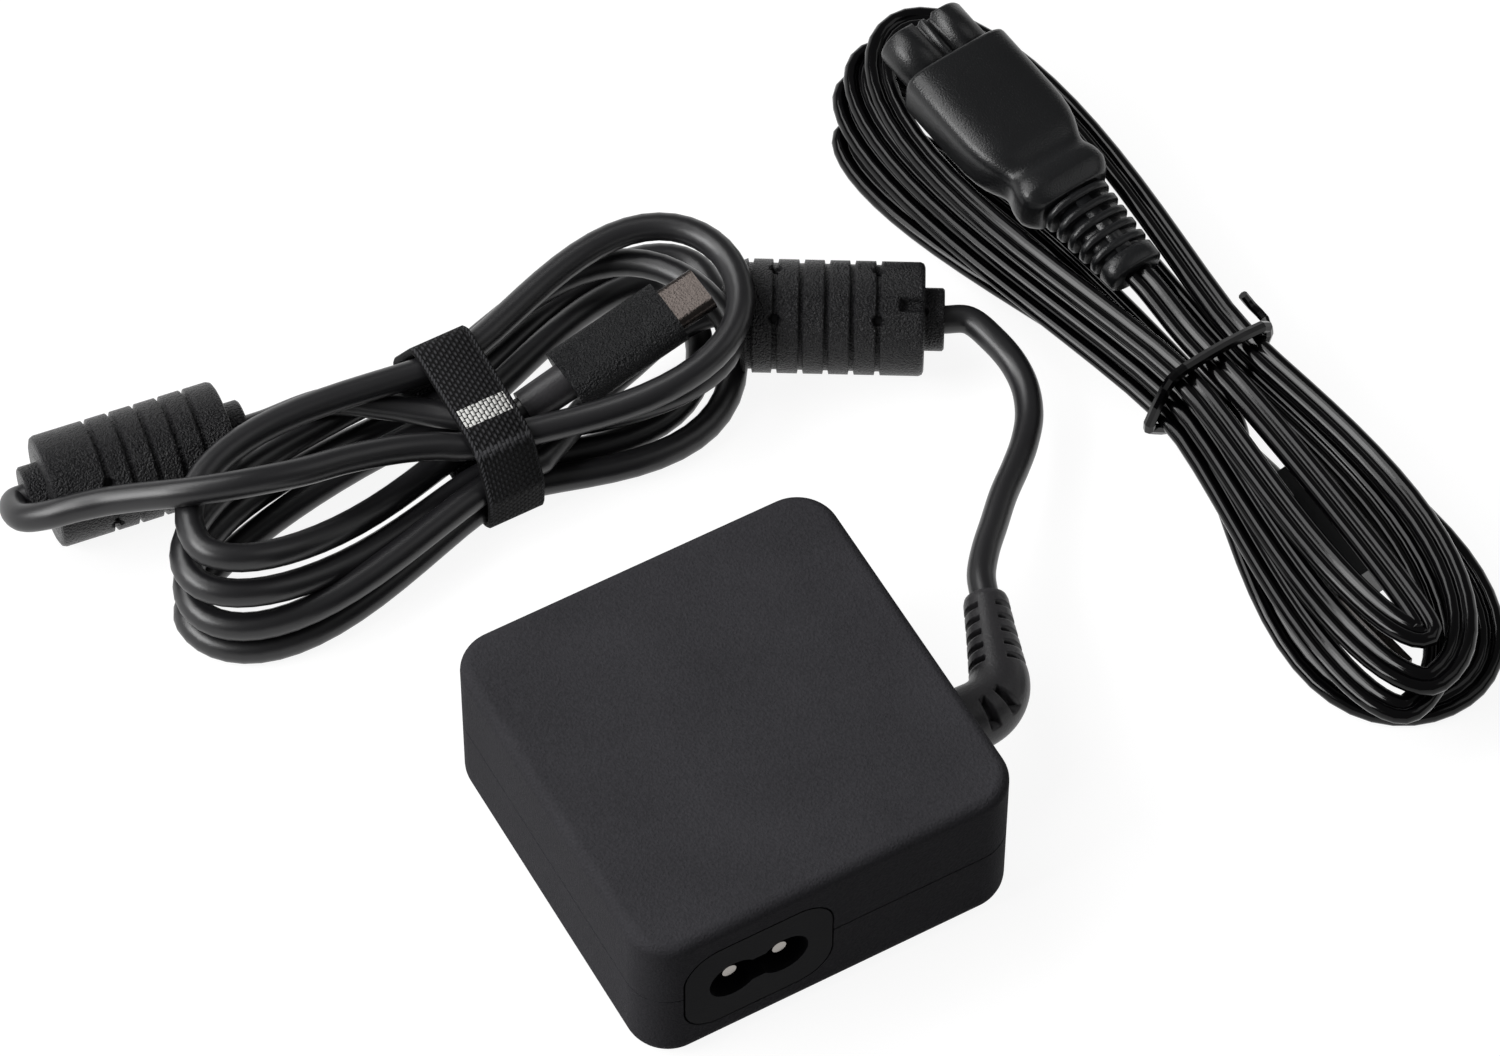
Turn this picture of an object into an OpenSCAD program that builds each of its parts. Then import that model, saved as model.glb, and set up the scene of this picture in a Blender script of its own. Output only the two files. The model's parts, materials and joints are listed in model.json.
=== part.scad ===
// Laptop power adapter: case with its electronics, a captive output lead with two ferrites and a
// USB-C plug tied into a figure-eight hank, and a separate flat mains lead with its own hank.
// Millimetres. Z is up, the origin is the middle of the case's underside, the mains inlet faces -Y.

/* [Case] */
// Width of the case from left to right
case_w = 65; // [64:1:74]
// Depth of the case from the inlet face to the back
case_d = 65; // [64:1:74]
// Height of the case
case_h = 31; // [30:0.5:36]
// Thickness of the case walls
wall = 2.2; // [1.8:0.1:2.6]
// Radius of the four upright corners
corner_r = 7; // [6:0.5:9]
// Radius of the edge round the top face
top_r = 2; // [1.5:0.25:3]
// Radius of the edge round the underside
foot_r = 4; // [3:0.5:4.5]
// Height of the joint between the two shells
split_z = 16.5; // [14:0.5:18]
// Height of the locating lip on the upper shell
lip_h = 1.5; // [1:0.1:2.5]
// Play between parts that slide together
play = 0.1; // [0.05:0.01:0.15]

/* [Mains inlet] */
// Width of the inlet bezel
bezel_w = 25.3; // [24.5:0.1:27]
// Height of the inlet bezel
bezel_h = 19.3; // [18.5:0.1:20.5]
// Distance from the case's left face to the middle of the inlet
inlet_side = 18.9; // [17.5:0.1:21]
// Height of the inlet's middle above the underside
inlet_z = 16; // [15.5:0.1:16.5]
// Diameter of the two inlet pins
pin_d = 2.4; // [2.2:0.1:2.4]
// Distance between the two inlet pins
pin_pitch = 8.6; // [8.4:0.1:8.8]
// Depth of the socket behind the bezel face
socket_l = 12.5; // [11:0.5:13]
// Radius of each round end of the socket opening
socket_r = 4.2; // [4.2:0.05:4.4]

/* [Board] */
// Thickness of the main board
board_t = 1.6; // [1.2:0.1:1.6]
// Height of the posts that carry the main board
post_h = 3; // [2.8:0.1:3.4]
// Diameter of the bulk capacitor
bulk_d = 14.6; // [12:0.2:15.4]
// Length of the bulk capacitor
bulk_l = 21; // [17:1:22]
// Diameter of the output capacitors
out_cap_d = 8; // [6:0.5:8]

/* [Output lead] */
// Distance from the inlet face to the middle of the output boot
exit_side = 24; // [22:0.5:26]
// Diameter of the output lead
lead_d = 4.2; // [3.8:0.1:4.4]
// Diameter of both ferrite covers
ferrite_d = 18.4; // [17.4:0.2:18.4]
// Length of the near ferrite cover
near_l = 27.5; // [26:0.5:27.5]
// Length of the far ferrite cover
far_l = 28.4; // [27:0.2:28.4]
// Length of the USB-C plug cover
plug_l = 20; // [17:0.5:21]
// Width of the USB-C plug cover
plug_w = 11.6; // [10.8:0.1:12]
// Thickness of the USB-C plug cover
plug_t = 6.4; // [5.6:0.1:6.6]
// Length of the metal shell that shows in front of the cover
shell_l = 6.65; // [6:0.05:6.8]
// Width of the fabric strap round the hank
strap_w = 11.5; // [9:0.5:11.5]
// Thickness of one layer of the strap
strap_t = 1.2; // [0.8:0.1:1.3]

/* [Mains lead] */
// Diameter of each of the two joined cores of the flat mains lead
twin_d = 2.5; // [2.3:0.1:2.6]
// Width of the connector body
body_w = 20; // [19.4:0.1:20.2]
// Thickness of the connector body
body_t = 10.6; // [10:0.1:10.8]
// Length of the connector nose in front of its body
nose_l = 9; // [8:0.5:9.5]
// Length of the mains plug body
mains_l = 19; // [16:0.5:19]
// Length of the mains plug blades
blade_l = 16; // [14:0.5:17]
// Diameter of the round tie
tie_d = 2; // [1.6:0.1:2.1]

/* [Hidden] */
$fn = 48;
eps = 0.02;

// Case
face_y = -case_d / 2;
inlet_x = -case_w / 2 + inlet_side;
floor_z = wall;
board_z = floor_z + post_h;
top_z = board_z + board_t;
board_w = case_w - 8;
board_d = case_d - 8;
post_x = board_w / 2 - 3.5;
post_y = board_d / 2 - 3.5;
post_r = 3;
peg_r = 1.2;
lip_t = wall - 1.4;
groove = 0.3;
bezel_r = 6;
bezel_gap = 0.3;
bezel_t = wall + 0.2;
seat_gap = 0.05;
flange_y = face_y + wall + seat_gap;
flange_t = 1.4;
flange_over = 1.35;
waist = 1.4;
socket_back = 2;
shroud_y = face_y + socket_l + socket_back;
shroud_w = pin_pitch + 2 * socket_r + 3.4;
shroud_h = 2 * socket_r + 3.2;
shroud_r = 3.5;
socket_w = pin_pitch / 2;
pin_r = pin_d / 2;
stem_r = pin_r - 0.2;
pin_set = 1.5;
stem_l = 0.3;
lug_r = 0.5;
tail_y = shroud_y + lug_r + 0.4;
pins_back = tail_y + 0.6;

// Electronics on the board, placed from its edges and from each other
left_x = -board_w / 2;
right_x = board_w / 2;
back_y = board_d / 2;
part_gap = 1.5;
edge_gap = 0.4;
fuse_d = 5.2;
fuse_l = 8;
fuse_x = inlet_x + shroud_w / 2 + 0.8 + fuse_d / 2;
fuse_y = face_y + 8.5;
x_cap = [15, 7, 12];
x_cap_at = [left_x + 6, pins_back + part_gap];
wind_t = 0.8;
choke_h = 6.6;
choke_r = 6.6;
choke_hole = 3.6;
choke_x = right_x - 1.1 - choke_r - wind_t;
choke_y = face_y + 12.5;
bridge = [15, 4, 11];
bridge_at = [left_x + 2.5, x_cap_at[1] + x_cap[1] + part_gap];
out_cap_h = 14;
out_cap_x = right_x - 0.5 - out_cap_d / 2;
out_cap_y = 7;
yoke = 3;
window_w = 4.4;
window_h = 11;
slip = 0.1;
core = [20, 10, 2 * yoke + window_h];
core_at = [out_cap_x - out_cap_d / 2 - 1 - core[0], 0];
base_t = 1.2;
base_over = 4;
wind_over = 3.2;
spreader = [18, 1.5, 15];
spreader_y = core_at[1] - wind_over - part_gap - spreader[1];
switch = [10, 4.5, 12];
switch_z = 3;
leg_pitch = 3.1;
leg = [0.9, 0.6, switch_z + 0.2];
disc_r = 4.5;
disc_t = 3;
disc_y = back_y - 6.5;
disc_z = 6;
wire_leg = 0.4;
card = [15, 1, 12];
chip = [6, 1.1, 5];
card_y = back_y - 3.5;
wire_r = 0.75;
wire_x = case_w / 2 - 11;
wire_bend = 3;
wire_gap = 1;

// Output lead outside the case follows the case faces
lead_r = lead_d / 2;
exit_y = face_y + exit_side;
route_exit = [32.5, -8.5];
shift = [case_w / 2 - route_exit[0], exit_y - route_exit[1], 0];
exit_z = 14.5;
arm_r = 4.8;
arm_l = 11;
arm_end = 19.8;
arm_turn = 69.3;
flange_r = 7;
collar_r = 5.5;
collar_t = 1.2;
slot_w = 1.1;
slot_pitch = 2.9;
boot_end = [route_exit[0] + arm_l + arm_end * cos(arm_turn),
            route_exit[1] + arm_end * sin(arm_turn), exit_z];
boot_axis = [cos(arm_turn), sin(arm_turn), 0];

near_right = [71.2, 64.6, 9.2];
near_axis = [0.861, -0.509, 0];
near_left = near_right - near_l * near_axis;
far_right = [-38.3, 98.6, 9.2];
far_axis = [0.991, -0.134, 0];
far_left = far_right - far_l * far_axis;
core_r = ferrite_d / 2 - 1.7;
bore_r = lead_r + 0.4;
end_l = 3;

first_route = [boot_end, [52.2, 14, 14.2], [55.4, 18.2, 13.4], [59.7, 22.8, 12],
               [64.4, 27.8, 10.5], [69.5, 32.5, 9], [73.5, 36.5, 8], [77, 41, 7.5], [79.2, 46, 7.5],
               [79.8, 51, 8], [79, 56, 8.8], [77.4, 60.9, 9.2], near_right + end_l * near_axis];
lead_in = [near_left - end_l * near_axis, near_left - 7.4 * near_axis, [31, 78, 8],
           [31.5, 67.5, 7.5], [24, 65, 9], [13.5, 67, 9.5], [4, 70, 9.2]];
hank_end = [-6.2, 73.8, 15.4];
reach_route = [hank_end, [-8.4, 74.4, 15.9], [-12, 75.8, 16.8], [-18, 77.2, 18.2],
               [-26, 77.8, 20.4], [-34, 77.9, 22.3], [-42, 79, 23.8], [-48, 80.3, 24.5],
               [-53, 83, 23.5], [-57.5, 87.5, 20], [-62, 90.8, 17.8], [-66.5, 92.6, 16.8],
               [-70.5, 94.2, 15.5], [-73.5, 97, 13.3], [-73.8, 100.5, 11],
               far_left - 6 * far_axis, far_left - end_l * far_axis];
plug_turn = 3;
plug_rise = 14;
plug_at = [13, 78.2, 14.6];
plug_axis = [cos(plug_rise) * cos(plug_turn), cos(plug_rise) * sin(plug_turn), sin(plug_rise)];
boot_l = 8;
usb_w = 8.34;
usb_t = 2.56;
usb_wall = 0.3;
shell_back = 5.9;
tail_route = [far_right + end_l * far_axis, far_right + 7.2 * far_axis, [-22, 95.5, 13.5],
              [-18.5, 88, 12.5], [-9, 83, 12], [-2.5, 79.9, 12.3], [0.3, 78.4, 11.8],
              plug_at - (boot_l + 2.4) * plug_axis, plug_at - boot_l * plug_axis];

// Hank of the output lead: places at the tie as [across, up], then one row per half loop as
// [side, place it leaves, place it enters, reach, apex across, apex up, swell out, swell back]
lead_tie = [-2, 83];
lead_lift = 1.5;
lead_base = 0.2;
lead_places = [[-13, 7.5], [8.5, 2], [-12.5, 2.5], [2.5, 5.5], [-7.5, 2], [12, 6], [-2, 3.5],
               [6, 15.5], [-10.2, 13.2]];
lead_halves = [[-1, 0, 1, 54.5, -10, 7.5, -20, 2], [1, 1, 2, 49, 11, 2, 25, -25.5],
               [-1, 2, 3, 55, -9.5, 2, -23, 2.5], [1, 3, 4, 43.5, 9.5, 2.5, 23, -21.5],
               [-1, 4, 5, 54, -8.5, 13.5, -20, -5], [1, 5, 6, 44.5, -5.5, 14, 19, -26.5],
               [-1, 6, 7, 51.5, -7, 18.5, -22.5, 12.5], [1, 7, 8, 47.5, 0.5, 19, 24, -20.5]];

// Hank of the mains lead, in a frame of its own with the tie at the origin
mains_at = [104, 31];
mains_turn = -81.08;
mains_lift = 2.2;
mains_places = [[1, 13], [-5, 13.5], [8.5, 11.5], [-6.5, 10], [5.5, 8.5], [-8, 7], [6, 5],
                [-4, 4], [1.5, 1.5]];
mains_halves = [[1, 0, 1, 68, -8, 18, 7.5, -27], [-1, 1, 2, 87, 6.5, 11, -16, 22.5],
                [1, 2, 3, 67.5, -11, 15, 8.5, -28], [-1, 3, 4, 87, 0.5, 7.5, -14, 13.5],
                [1, 4, 5, 67.5, -16, 11.5, 8, -26], [-1, 5, 6, 85.5, -4, 4.5, -12, 9],
                [1, 6, 7, 66, -3, 1.5, 24, -37.5], [-1, 7, 8, 80, -9, 1.5, -18.5, 6]];
connector_at = [-20.8, 2.5, 15.7];
connector_turn = 178;
connector_rise = 3;
connector_axis = [cos(connector_rise) * cos(connector_turn), cos(connector_rise) * sin(connector_turn),
                  sin(connector_rise)];
mains_in = [-5, 1.2, 15.2];
mains_out = [3, 1.4, 3.7];
rib_l = 17;
rib_w = 12.4;
rib_t = 7.8;
rib_slot = 1.2;
rib_pitch = 2.9;
neck_l = 5;
neck_w = 16.4;
neck_t = 8.6;
shoulder_l = 27.5;
body_r = 3.5;
nose_r = socket_r - 0.2;
nose_off = pin_pitch / 2 - 0.15;
contact_r = 1.75;
contact_l = 12;
mains_plug_at = [13, -2, 4.9];
mains_w = 16;
mains_t = 9;
mains_r = 3;
mains_neck = 11;
blade_pitch = 12.7;
blade_t = 1.5;
blade_h = 5.2;
blade_in = 5.9;
blade_hole = 1.4;
mains_first = [connector_at, [-16.8, 2.35, 15.5], [-9, 1.5, 15.3], mains_in];
mains_tail = [mains_out, [4.4, 1.35, 3.7], [6.6, 0.4, 3.8], [9, -1.1, 4.1], [11.6, -2, 4.85],
              mains_plug_at];
tie_ring = [[1.5, 1.15], [4.6, 1.8], [9.3, 5.5], [12, 12.2], [12.3, 14.2], [11, 16.2], [3, 17.85],
            [-3, 18.35], [-6.8, 18.3], [-8.8, 16.6], [-11.9, 9.4], [-11, 7.3], [-7, 4.1],
            [-1.2, 1.3]];
tie_tail = [[-1.2, 13.4, 12.2], [-3, 14.6, 12], [-6, 14.4, 12.6], [-7.6, 13.6, 14.6]];

// Smooth curve through given points
function before(p, i) = i > 0 ? p[i - 1] : 2 * p[0] - p[1];
function after(p, i) = i < len(p) - 1 ? p[i + 1] : 2 * p[i] - p[i - 1];
function between(a, b, c, d, t) =
  (2 * b + (c - a) * t + (2 * a - 5 * b + 4 * c - d) * t * t + (3 * b - a - 3 * c + d) * t * t * t) / 2;
function smooth(p, n) = concat(
  [for (i = [0:len(p) - 2], k = [0:n - 1]) between(before(p, i), p[i], p[i + 1], after(p, i + 1), k / n)],
  [p[len(p) - 1]]);

// Half loops of a hank: k runs from 0 to n
function swing(h, places, base, lift, k, n) =
  let (turn = 180 * k / n, c = abs(cos(turn)), s = sin(turn),
       place = places[turn <= 90 ? h[1] : h[2]],
       swell = turn <= 90 ? h[6] : h[7])
  [h[0] * h[3] * s,
   h[4] * (1 - c) + place[0] * c + swell * c * s * s / (s + 0.18),
   base + h[5] + (place[1] + lift - h[5]) * pow(c, 4)];
function hank(halves, places, base, lift, n) = concat(
  [for (h = halves, k = [0:n - 1]) swing(h, places, base, lift, k, n)],
  [swing(halves[len(halves) - 1], places, base, lift, n, n)]);
function moved(p, by) = [for (q = p) q + by];

lead_loops = moved(hank(lead_halves, lead_places, lead_base, lead_lift, 12),
                   [lead_tie[0], lead_tie[1], 0]);
lead_line = concat(smooth(lead_in, 2), lead_loops, [hank_end]);
mains_loops = hank(mains_halves, mains_places, 0, mains_lift, 12);
mains_line = concat([mains_in], mains_loops, [mains_out]);

// Sections of the cords, as points on the outline
function round_section(d, n) = [for (i = [0:n - 1]) [cos(360 * i / n) * d / 2, sin(360 * i / n) * d / 2]];
function twin_section(d) = [[d, 0], [d / 2, d / 2], [-d / 2, d / 2], [-d, 0], [-d / 2, -d / 2],
                            [d / 2, -d / 2]];

// Least distance between two stretches of the same line, centre to centre
function near_self(p, skip) =
  min([for (i = [0:len(p) - skip - 1], j = [i + skip:len(p) - 1]) norm(p[i] - p[j])]);
function near_other(p, q) = min([for (a = p, b = q) norm(a - b)]);
function beside(p, i) =
  let (t = p[min(i + 1, len(p) - 1)] - p[max(i - 1, 0)]) [-t[1], t[0], 0] / norm([t[0], t[1]]);
mains_left = [for (i = [0:len(mains_loops) - 1]) mains_loops[i] + beside(mains_loops, i) * twin_d / 2];
mains_right = [for (i = [0:len(mains_loops) - 1]) mains_loops[i] - beside(mains_loops, i) * twin_d / 2];
function near_apart(p, q, skip) =
  min([for (i = [0:len(p) - 1], j = [0:len(q) - 1]) if (abs(i - j) >= skip) norm(p[i] - q[j])]);
echo(lead_self_gap = near_self(lead_loops, 5) - lead_d);
echo(lead_in_gap = near_apart(smooth(lead_in, 6), lead_loops, -200) - lead_d);
lead_start = [for (i = [0:len(lead_loops) - 5]) lead_loops[i]];
echo(reach_gap = near_other(smooth(reach_route, 6), lead_start) - lead_d);
echo(tail_gap = near_other(smooth(tail_route, 6), lead_loops) - lead_d);
echo(mains_self_gap = min(near_self(mains_left, 5), near_self(mains_right, 5),
                          near_apart(mains_left, mains_right, 5)) - twin_d);

function length_of(p) = len(p) < 2 ? 0 : norm(p[1] - p[0]) + length_of([for (i = [1:len(p) - 1]) p[i]]);
echo(lead_hank_length = length_of(lead_line), mains_hank_length = length_of(mains_line));
echo(first = length_of(smooth(first_route, 4)), reach = length_of(smooth(reach_route, 4)));
echo(tail = length_of(smooth(tail_route, 4)), mains_stretch = length_of(smooth(mains_first, 4)));

// Cord along a line of points, closed with flat ends that are square to the given ways
function unit(v) = v / norm(v);
function heading(p, i) = unit(p[min(i + 1, len(p) - 1)] - p[max(i - 1, 0)]);
function ring(at, t, section) =
  let (s = unit(cross(t, [0, 0, 1])), n = cross(s, t))
  [for (q = section) at + q[0] * s + q[1] * n];
function way(p, i, first_way, last_way) =
  i == 0 && is_list(first_way) ? first_way :
  i == len(p) - 1 && is_list(last_way) ? last_way : heading(p, i);
module cord(p, section, first_way, last_way) {
  n = len(section);
  last = (len(p) - 1) * n;
  points = [for (i = [0:len(p) - 1]) each ring(p[i], way(p, i, first_way, last_way), section)];
  skin = [for (i = [0:len(p) - 2], j = [0:n - 1])
    each [[i * n + j, (i + 1) * n + (j + 1) % n, i * n + (j + 1) % n],
          [i * n + j, (i + 1) * n + j, (i + 1) * n + (j + 1) % n]]];
  start = [for (j = [1:n - 2]) [0, j, j + 1]];
  finish = [for (j = [1:n - 2]) [last, last + j + 1, last + j]];
  polyhedron(points = points, faces = concat(skin, start, finish));
}

// Solid shapes used by several parts
module corner_column(r, z0, z1, rt, rb) {
  rotate_extrude()
    edge_section(r, z0, z1, rt, rb);
}
module edge_section(r, z0, z1, rt, rb) {
  translate([0, z0 + rb])
    square([r, z1 - z0 - rt - rb]);
  translate([0, z0])
    square([r - rb, rb + eps]);
  translate([0, z1 - rt - eps])
    square([r - rt, rt + eps]);
  intersection() {
    translate([r - rb, z0 + rb])
      circle(r = rb);
    translate([0, z0])
      square([r, rb + eps]);
  }
  intersection() {
    translate([r - rt, z1 - rt])
      circle(r = rt);
    translate([0, z1 - rt - eps])
      square([r, rt + eps]);
  }
}
module bar_section(w, z0, z1, rt, rb) {
  union() {
    edge_section(w / 2, z0, z1, rt, rb);
    mirror([1, 0])
      edge_section(w / 2, z0, z1, rt, rb);
  }
}
module slab(w, d, z0, z1, r, rt, rb) {
  for (x = [-1, 1], y = [-1, 1])
    translate([x * (w / 2 - r), y * (d / 2 - r), 0])
      corner_column(r, z0, z1, rt, rb);
  translate([-w / 2 + r, 0, 0])
    rotate([90, 0, 90])
      linear_extrude(w - 2 * r)
        bar_section(d, z0, z1, rt, rb);
  translate([0, d / 2 - r, 0])
    rotate([90, 0, 0])
      linear_extrude(d - 2 * r)
        bar_section(w, z0, z1, rt, rb);
}
module plate(w, d, h, r) {
  linear_extrude(h)
    plate_outline(w, d, r);
}
module plate_outline(w, d, r) {
  square([w - 2 * r, d], center = true);
  square([w, d - 2 * r], center = true);
  for (x = [-1, 1], y = [-1, 1])
    translate([x * (w / 2 - r), y * (d / 2 - r)])
      circle(r = r);
}
module to_back(y) {
  translate([0, y, 0])
    rotate([90, 0, 0])
      children();
}
module socket_outline(r, off) {
  for (x = [-1, 1])
    translate([x * off, 0])
      circle(r = r);
  square([2 * off, 2 * r - 2 * waist], center = true);
}
module outside() {
  slab(case_w, case_d, 0, case_h, corner_r, top_r, foot_r);
}
module grown_inside(grow) {
  w = wall - grow;
  slab(case_w - 2 * w, case_d - 2 * w, w, case_h - w, corner_r - w, top_r / 2, foot_r / 2);
}
module shell_openings() {
  translate([inlet_x, 0, inlet_z])
    to_back(face_y + wall + 1)
      plate(bezel_w + 2 * bezel_gap, bezel_h + 2 * bezel_gap, wall + 2, bezel_r + bezel_gap);
  translate([case_w / 2 - wall - 1, exit_y, exit_z])
    rotate([0, 90, 0])
      cylinder(r = arm_r + play, h = wall + 2);
}

module upper_shell() {
  color([0.23, 0.23, 0.24])
    difference() {
      union() {
        difference() {
          outside();
          grown_inside(0);
          translate([-case_w, -case_d, -1])
            cube([2 * case_w, 2 * case_d, split_z + 1]);
        }
        difference() {
          translate([0, 0, split_z - lip_h])
            plate(case_w - 2 * (wall - lip_t), case_d - 2 * (wall - lip_t), lip_h + 1,
                  corner_r - wall + lip_t);
          translate([0, 0, split_z - lip_h - 1])
            plate(case_w - 2 * wall, case_d - 2 * wall, lip_h + 1 + wall, corner_r - wall);
        }
      }
      shell_openings();
    }
}

module lower_shell() {
  color([0.23, 0.23, 0.24])
    difference() {
      union() {
        difference() {
          outside();
          grown_inside(0);
          translate([-case_w, -case_d, split_z])
            cube([2 * case_w, 2 * case_d, case_h]);
        }
        for (x = [-1, 1], y = [-1, 1])
          translate([x * post_x, y * post_y, floor_z - 0.5])
            cylinder(r = post_r, h = post_h + 0.5);
        for (x = [-1, 1], y = [-1, 1])
          translate([x * post_x, y * post_y, floor_z])
            cylinder(r = peg_r, h = post_h + board_t - 0.2);
      }
      translate([0, 0, split_z - lip_h - play])
        plate(case_w - 2 * (wall - lip_t - play), case_d - 2 * (wall - lip_t - play), lip_h + 2,
              corner_r - wall + lip_t + play);
      difference() {
        translate([-case_w, -case_d, split_z - groove])
          cube([2 * case_w, 2 * case_d, 1]);
        translate([0, 0, split_z - 1])
          plate(case_w - 2 * groove, case_d - 2 * groove, 1 + wall, corner_r - groove);
      }
      shell_openings();
    }
}

// The flange is trimmed to the inside of the shells
module inlet_body() {
  inside = wall + seat_gap;
  color([0.11, 0.11, 0.12])
    difference() {
      union() {
        translate([inlet_x, 0, inlet_z])
          to_back(face_y + bezel_t)
            plate(bezel_w, bezel_h, bezel_t, bezel_r);
        intersection() {
          translate([inlet_x, 0, inlet_z])
            to_back(flange_y + flange_t)
              plate(bezel_w + 2 * flange_over, bezel_h + 2 * flange_over, flange_t, bezel_r + 0.5);
          plate(case_w - 2 * inside, case_d - 2 * inside, case_h, corner_r - inside);
        }
        translate([inlet_x, 0, inlet_z])
          to_back(shroud_y)
            plate(shroud_w, shroud_h, shroud_y - face_y - bezel_t + 0.5, shroud_r);
      }
      translate([inlet_x, 0, inlet_z]) {
        to_back(face_y + socket_l)
          linear_extrude(socket_l + 1)
            socket_outline(socket_r, socket_w);
        for (x = [-1, 1])
          translate([x * pin_pitch / 2, 0, 0])
            to_back(shroud_y + 1)
              cylinder(r = stem_r + eps, h = socket_back + 2);
      }
    }
}

module inlet_pins() {
  step_y = face_y + socket_l - stem_l;
  color([0.8, 0.78, 0.72])
    for (x = [-1, 1])
      translate([inlet_x + x * pin_pitch / 2, 0, 0]) {
        translate([0, 0, inlet_z]) {
          to_back(step_y)
            cylinder(r = pin_r, h = socket_l - stem_l - pin_set);
          to_back(pins_back)
            cylinder(r = stem_r, h = pins_back - step_y + 0.5);
        }
        translate([0, tail_y, top_z - board_t])
          cylinder(r = lug_r, h = inlet_z - top_z + board_t);
      }
}

module main_board() {
  color([0.1, 0.3, 0.18])
    difference() {
      translate([0, 0, board_z])
        plate(board_w, board_d, board_t, 4);
      for (x = [-1, 1], y = [-1, 1])
        translate([x * post_x, y * post_y, board_z - 1])
          cylinder(r = peg_r + play, h = board_t + 2);
      for (x = [-1, 1])
        translate([inlet_x + x * pin_pitch / 2, tail_y, board_z - 1])
          cylinder(r = lug_r + play, h = board_t + 2);
      for (y = [-1, 1])
        translate([wire_x, exit_y + y * wire_gap, board_z - 1])
          cylinder(r = wire_r + play, h = board_t + 2);
    }
}

module insulating_sheet() {
  color([0.75, 0.72, 0.6])
    difference() {
      translate([0, 0, floor_z])
        plate(board_w - 4, board_d - 4, 0.4, 4);
      for (x = [-1, 1], y = [-1, 1])
        translate([x * post_x, y * post_y, floor_z - 1])
          cylinder(r = post_r + 2 * play, h = 3);
    }
}

module mains_fuse() {
  color([0.75, 0.76, 0.75])
    translate([fuse_x, 0, top_z + fuse_d / 2])
      to_back(fuse_y + fuse_l)
        cylinder(r = fuse_d / 2, h = fuse_l);
}

module x_capacitor() {
  color([0.85, 0.72, 0.2])
    translate([x_cap_at[0], x_cap_at[1], top_z])
      cube(x_cap);
}

module choke_ring() {
  difference() {
    cylinder(r = choke_r, h = choke_h);
    translate([0, 0, -1])
      cylinder(r = choke_hole, h = choke_h + 2);
  }
}

module emi_choke_core() {
  color([0.3, 0.32, 0.3])
    translate([choke_x, choke_y, top_z + wind_t])
      choke_ring();
}

module emi_choke_winding() {
  color([0.72, 0.4, 0.2])
    translate([choke_x, choke_y, top_z])
      for (a = [20, 200])
        rotate([0, 0, a])
          difference() {
            rotate_extrude(angle = 140)
              translate([choke_hole - wind_t, 0])
                square([choke_r - choke_hole + 2 * wind_t, choke_h + 2 * wind_t]);
            translate([0, 0, wind_t])
              choke_ring();
          }
}

module bridge_rectifier() {
  color([0.12, 0.12, 0.13])
    translate([bridge_at[0], bridge_at[1], top_z])
      cube(bridge);
}

module bulk_capacitor() {
  color([0.14, 0.16, 0.3])
    translate([left_x + part_gap, back_y - edge_gap - bulk_d / 2, top_z + bulk_d / 2])
      rotate([0, 90, 0])
        cylinder(d = bulk_d, h = bulk_l);
}

module transformer_base() {
  color([0.15, 0.15, 0.15])
    translate([core_at[0] + 1, core_at[1] - base_over, top_z])
      cube([core[0] - 2, core[1] + 2 * base_over, base_t]);
}

module transformer_core() {
  color([0.28, 0.28, 0.3])
    translate([core_at[0], core_at[1], top_z + base_t])
      difference() {
        cube(core);
        for (x = [yoke, core[0] - yoke - window_w])
          translate([x, -1, yoke])
            cube([window_w, core[1] + 2, window_h]);
      }
}

module transformer_winding() {
  color([0.85, 0.7, 0.15])
    translate([core_at[0] + yoke + slip, core_at[1] - wind_over, top_z + base_t + yoke + slip])
      difference() {
        cube([core[0] - 2 * yoke - 2 * slip, core[1] + 2 * wind_over, window_h - 2 * slip]);
        translate([window_w - 1.5 * slip, wind_over - slip / 2, -1])
          cube([core[0] - 2 * yoke - 2 * window_w + slip, core[1] + slip, window_h + 2]);
      }
}

module heat_spreader() {
  color([0.75, 0.76, 0.78])
    translate([core_at[0] + 1, spreader_y, top_z])
      cube(spreader);
}

module power_transistor() {
  switch_x = core_at[0] + 3.5;
  color([0.12, 0.12, 0.13]) {
    translate([switch_x, spreader_y - switch[1], top_z + switch_z])
      cube(switch);
    for (k = [-1, 0, 1])
      translate([switch_x + switch[0] / 2 + k * leg_pitch - leg[0] / 2, spreader_y - 2.6, top_z])
        cube(leg);
  }
}

module safety_capacitor() {
  disc_x = core_at[0] + core[0] / 2;
  color([0.2, 0.45, 0.7]) {
    translate([disc_x, disc_y, top_z + disc_z])
      to_back(0)
        cylinder(r = disc_r, h = disc_t);
    for (x = [-2.5, 2.5])
      translate([disc_x + x, disc_y - disc_t / 2, top_z])
        cylinder(r = wire_leg, h = disc_z - 2);
  }
}

module output_capacitors() {
  color([0.12, 0.12, 0.14])
    for (k = [0, 1])
      translate([out_cap_x, out_cap_y + k * (out_cap_d + part_gap), top_z])
        cylinder(d = out_cap_d, h = out_cap_h);
}

module controller_board() {
  card_x = core_at[0] + 4;
  color([0.1, 0.3, 0.18]) {
    translate([card_x, card_y, top_z])
      cube(card);
    translate([card_x + 4, card_y - chip[1] + 0.1, top_z + 4])
      cube(chip);
  }
}

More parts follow.
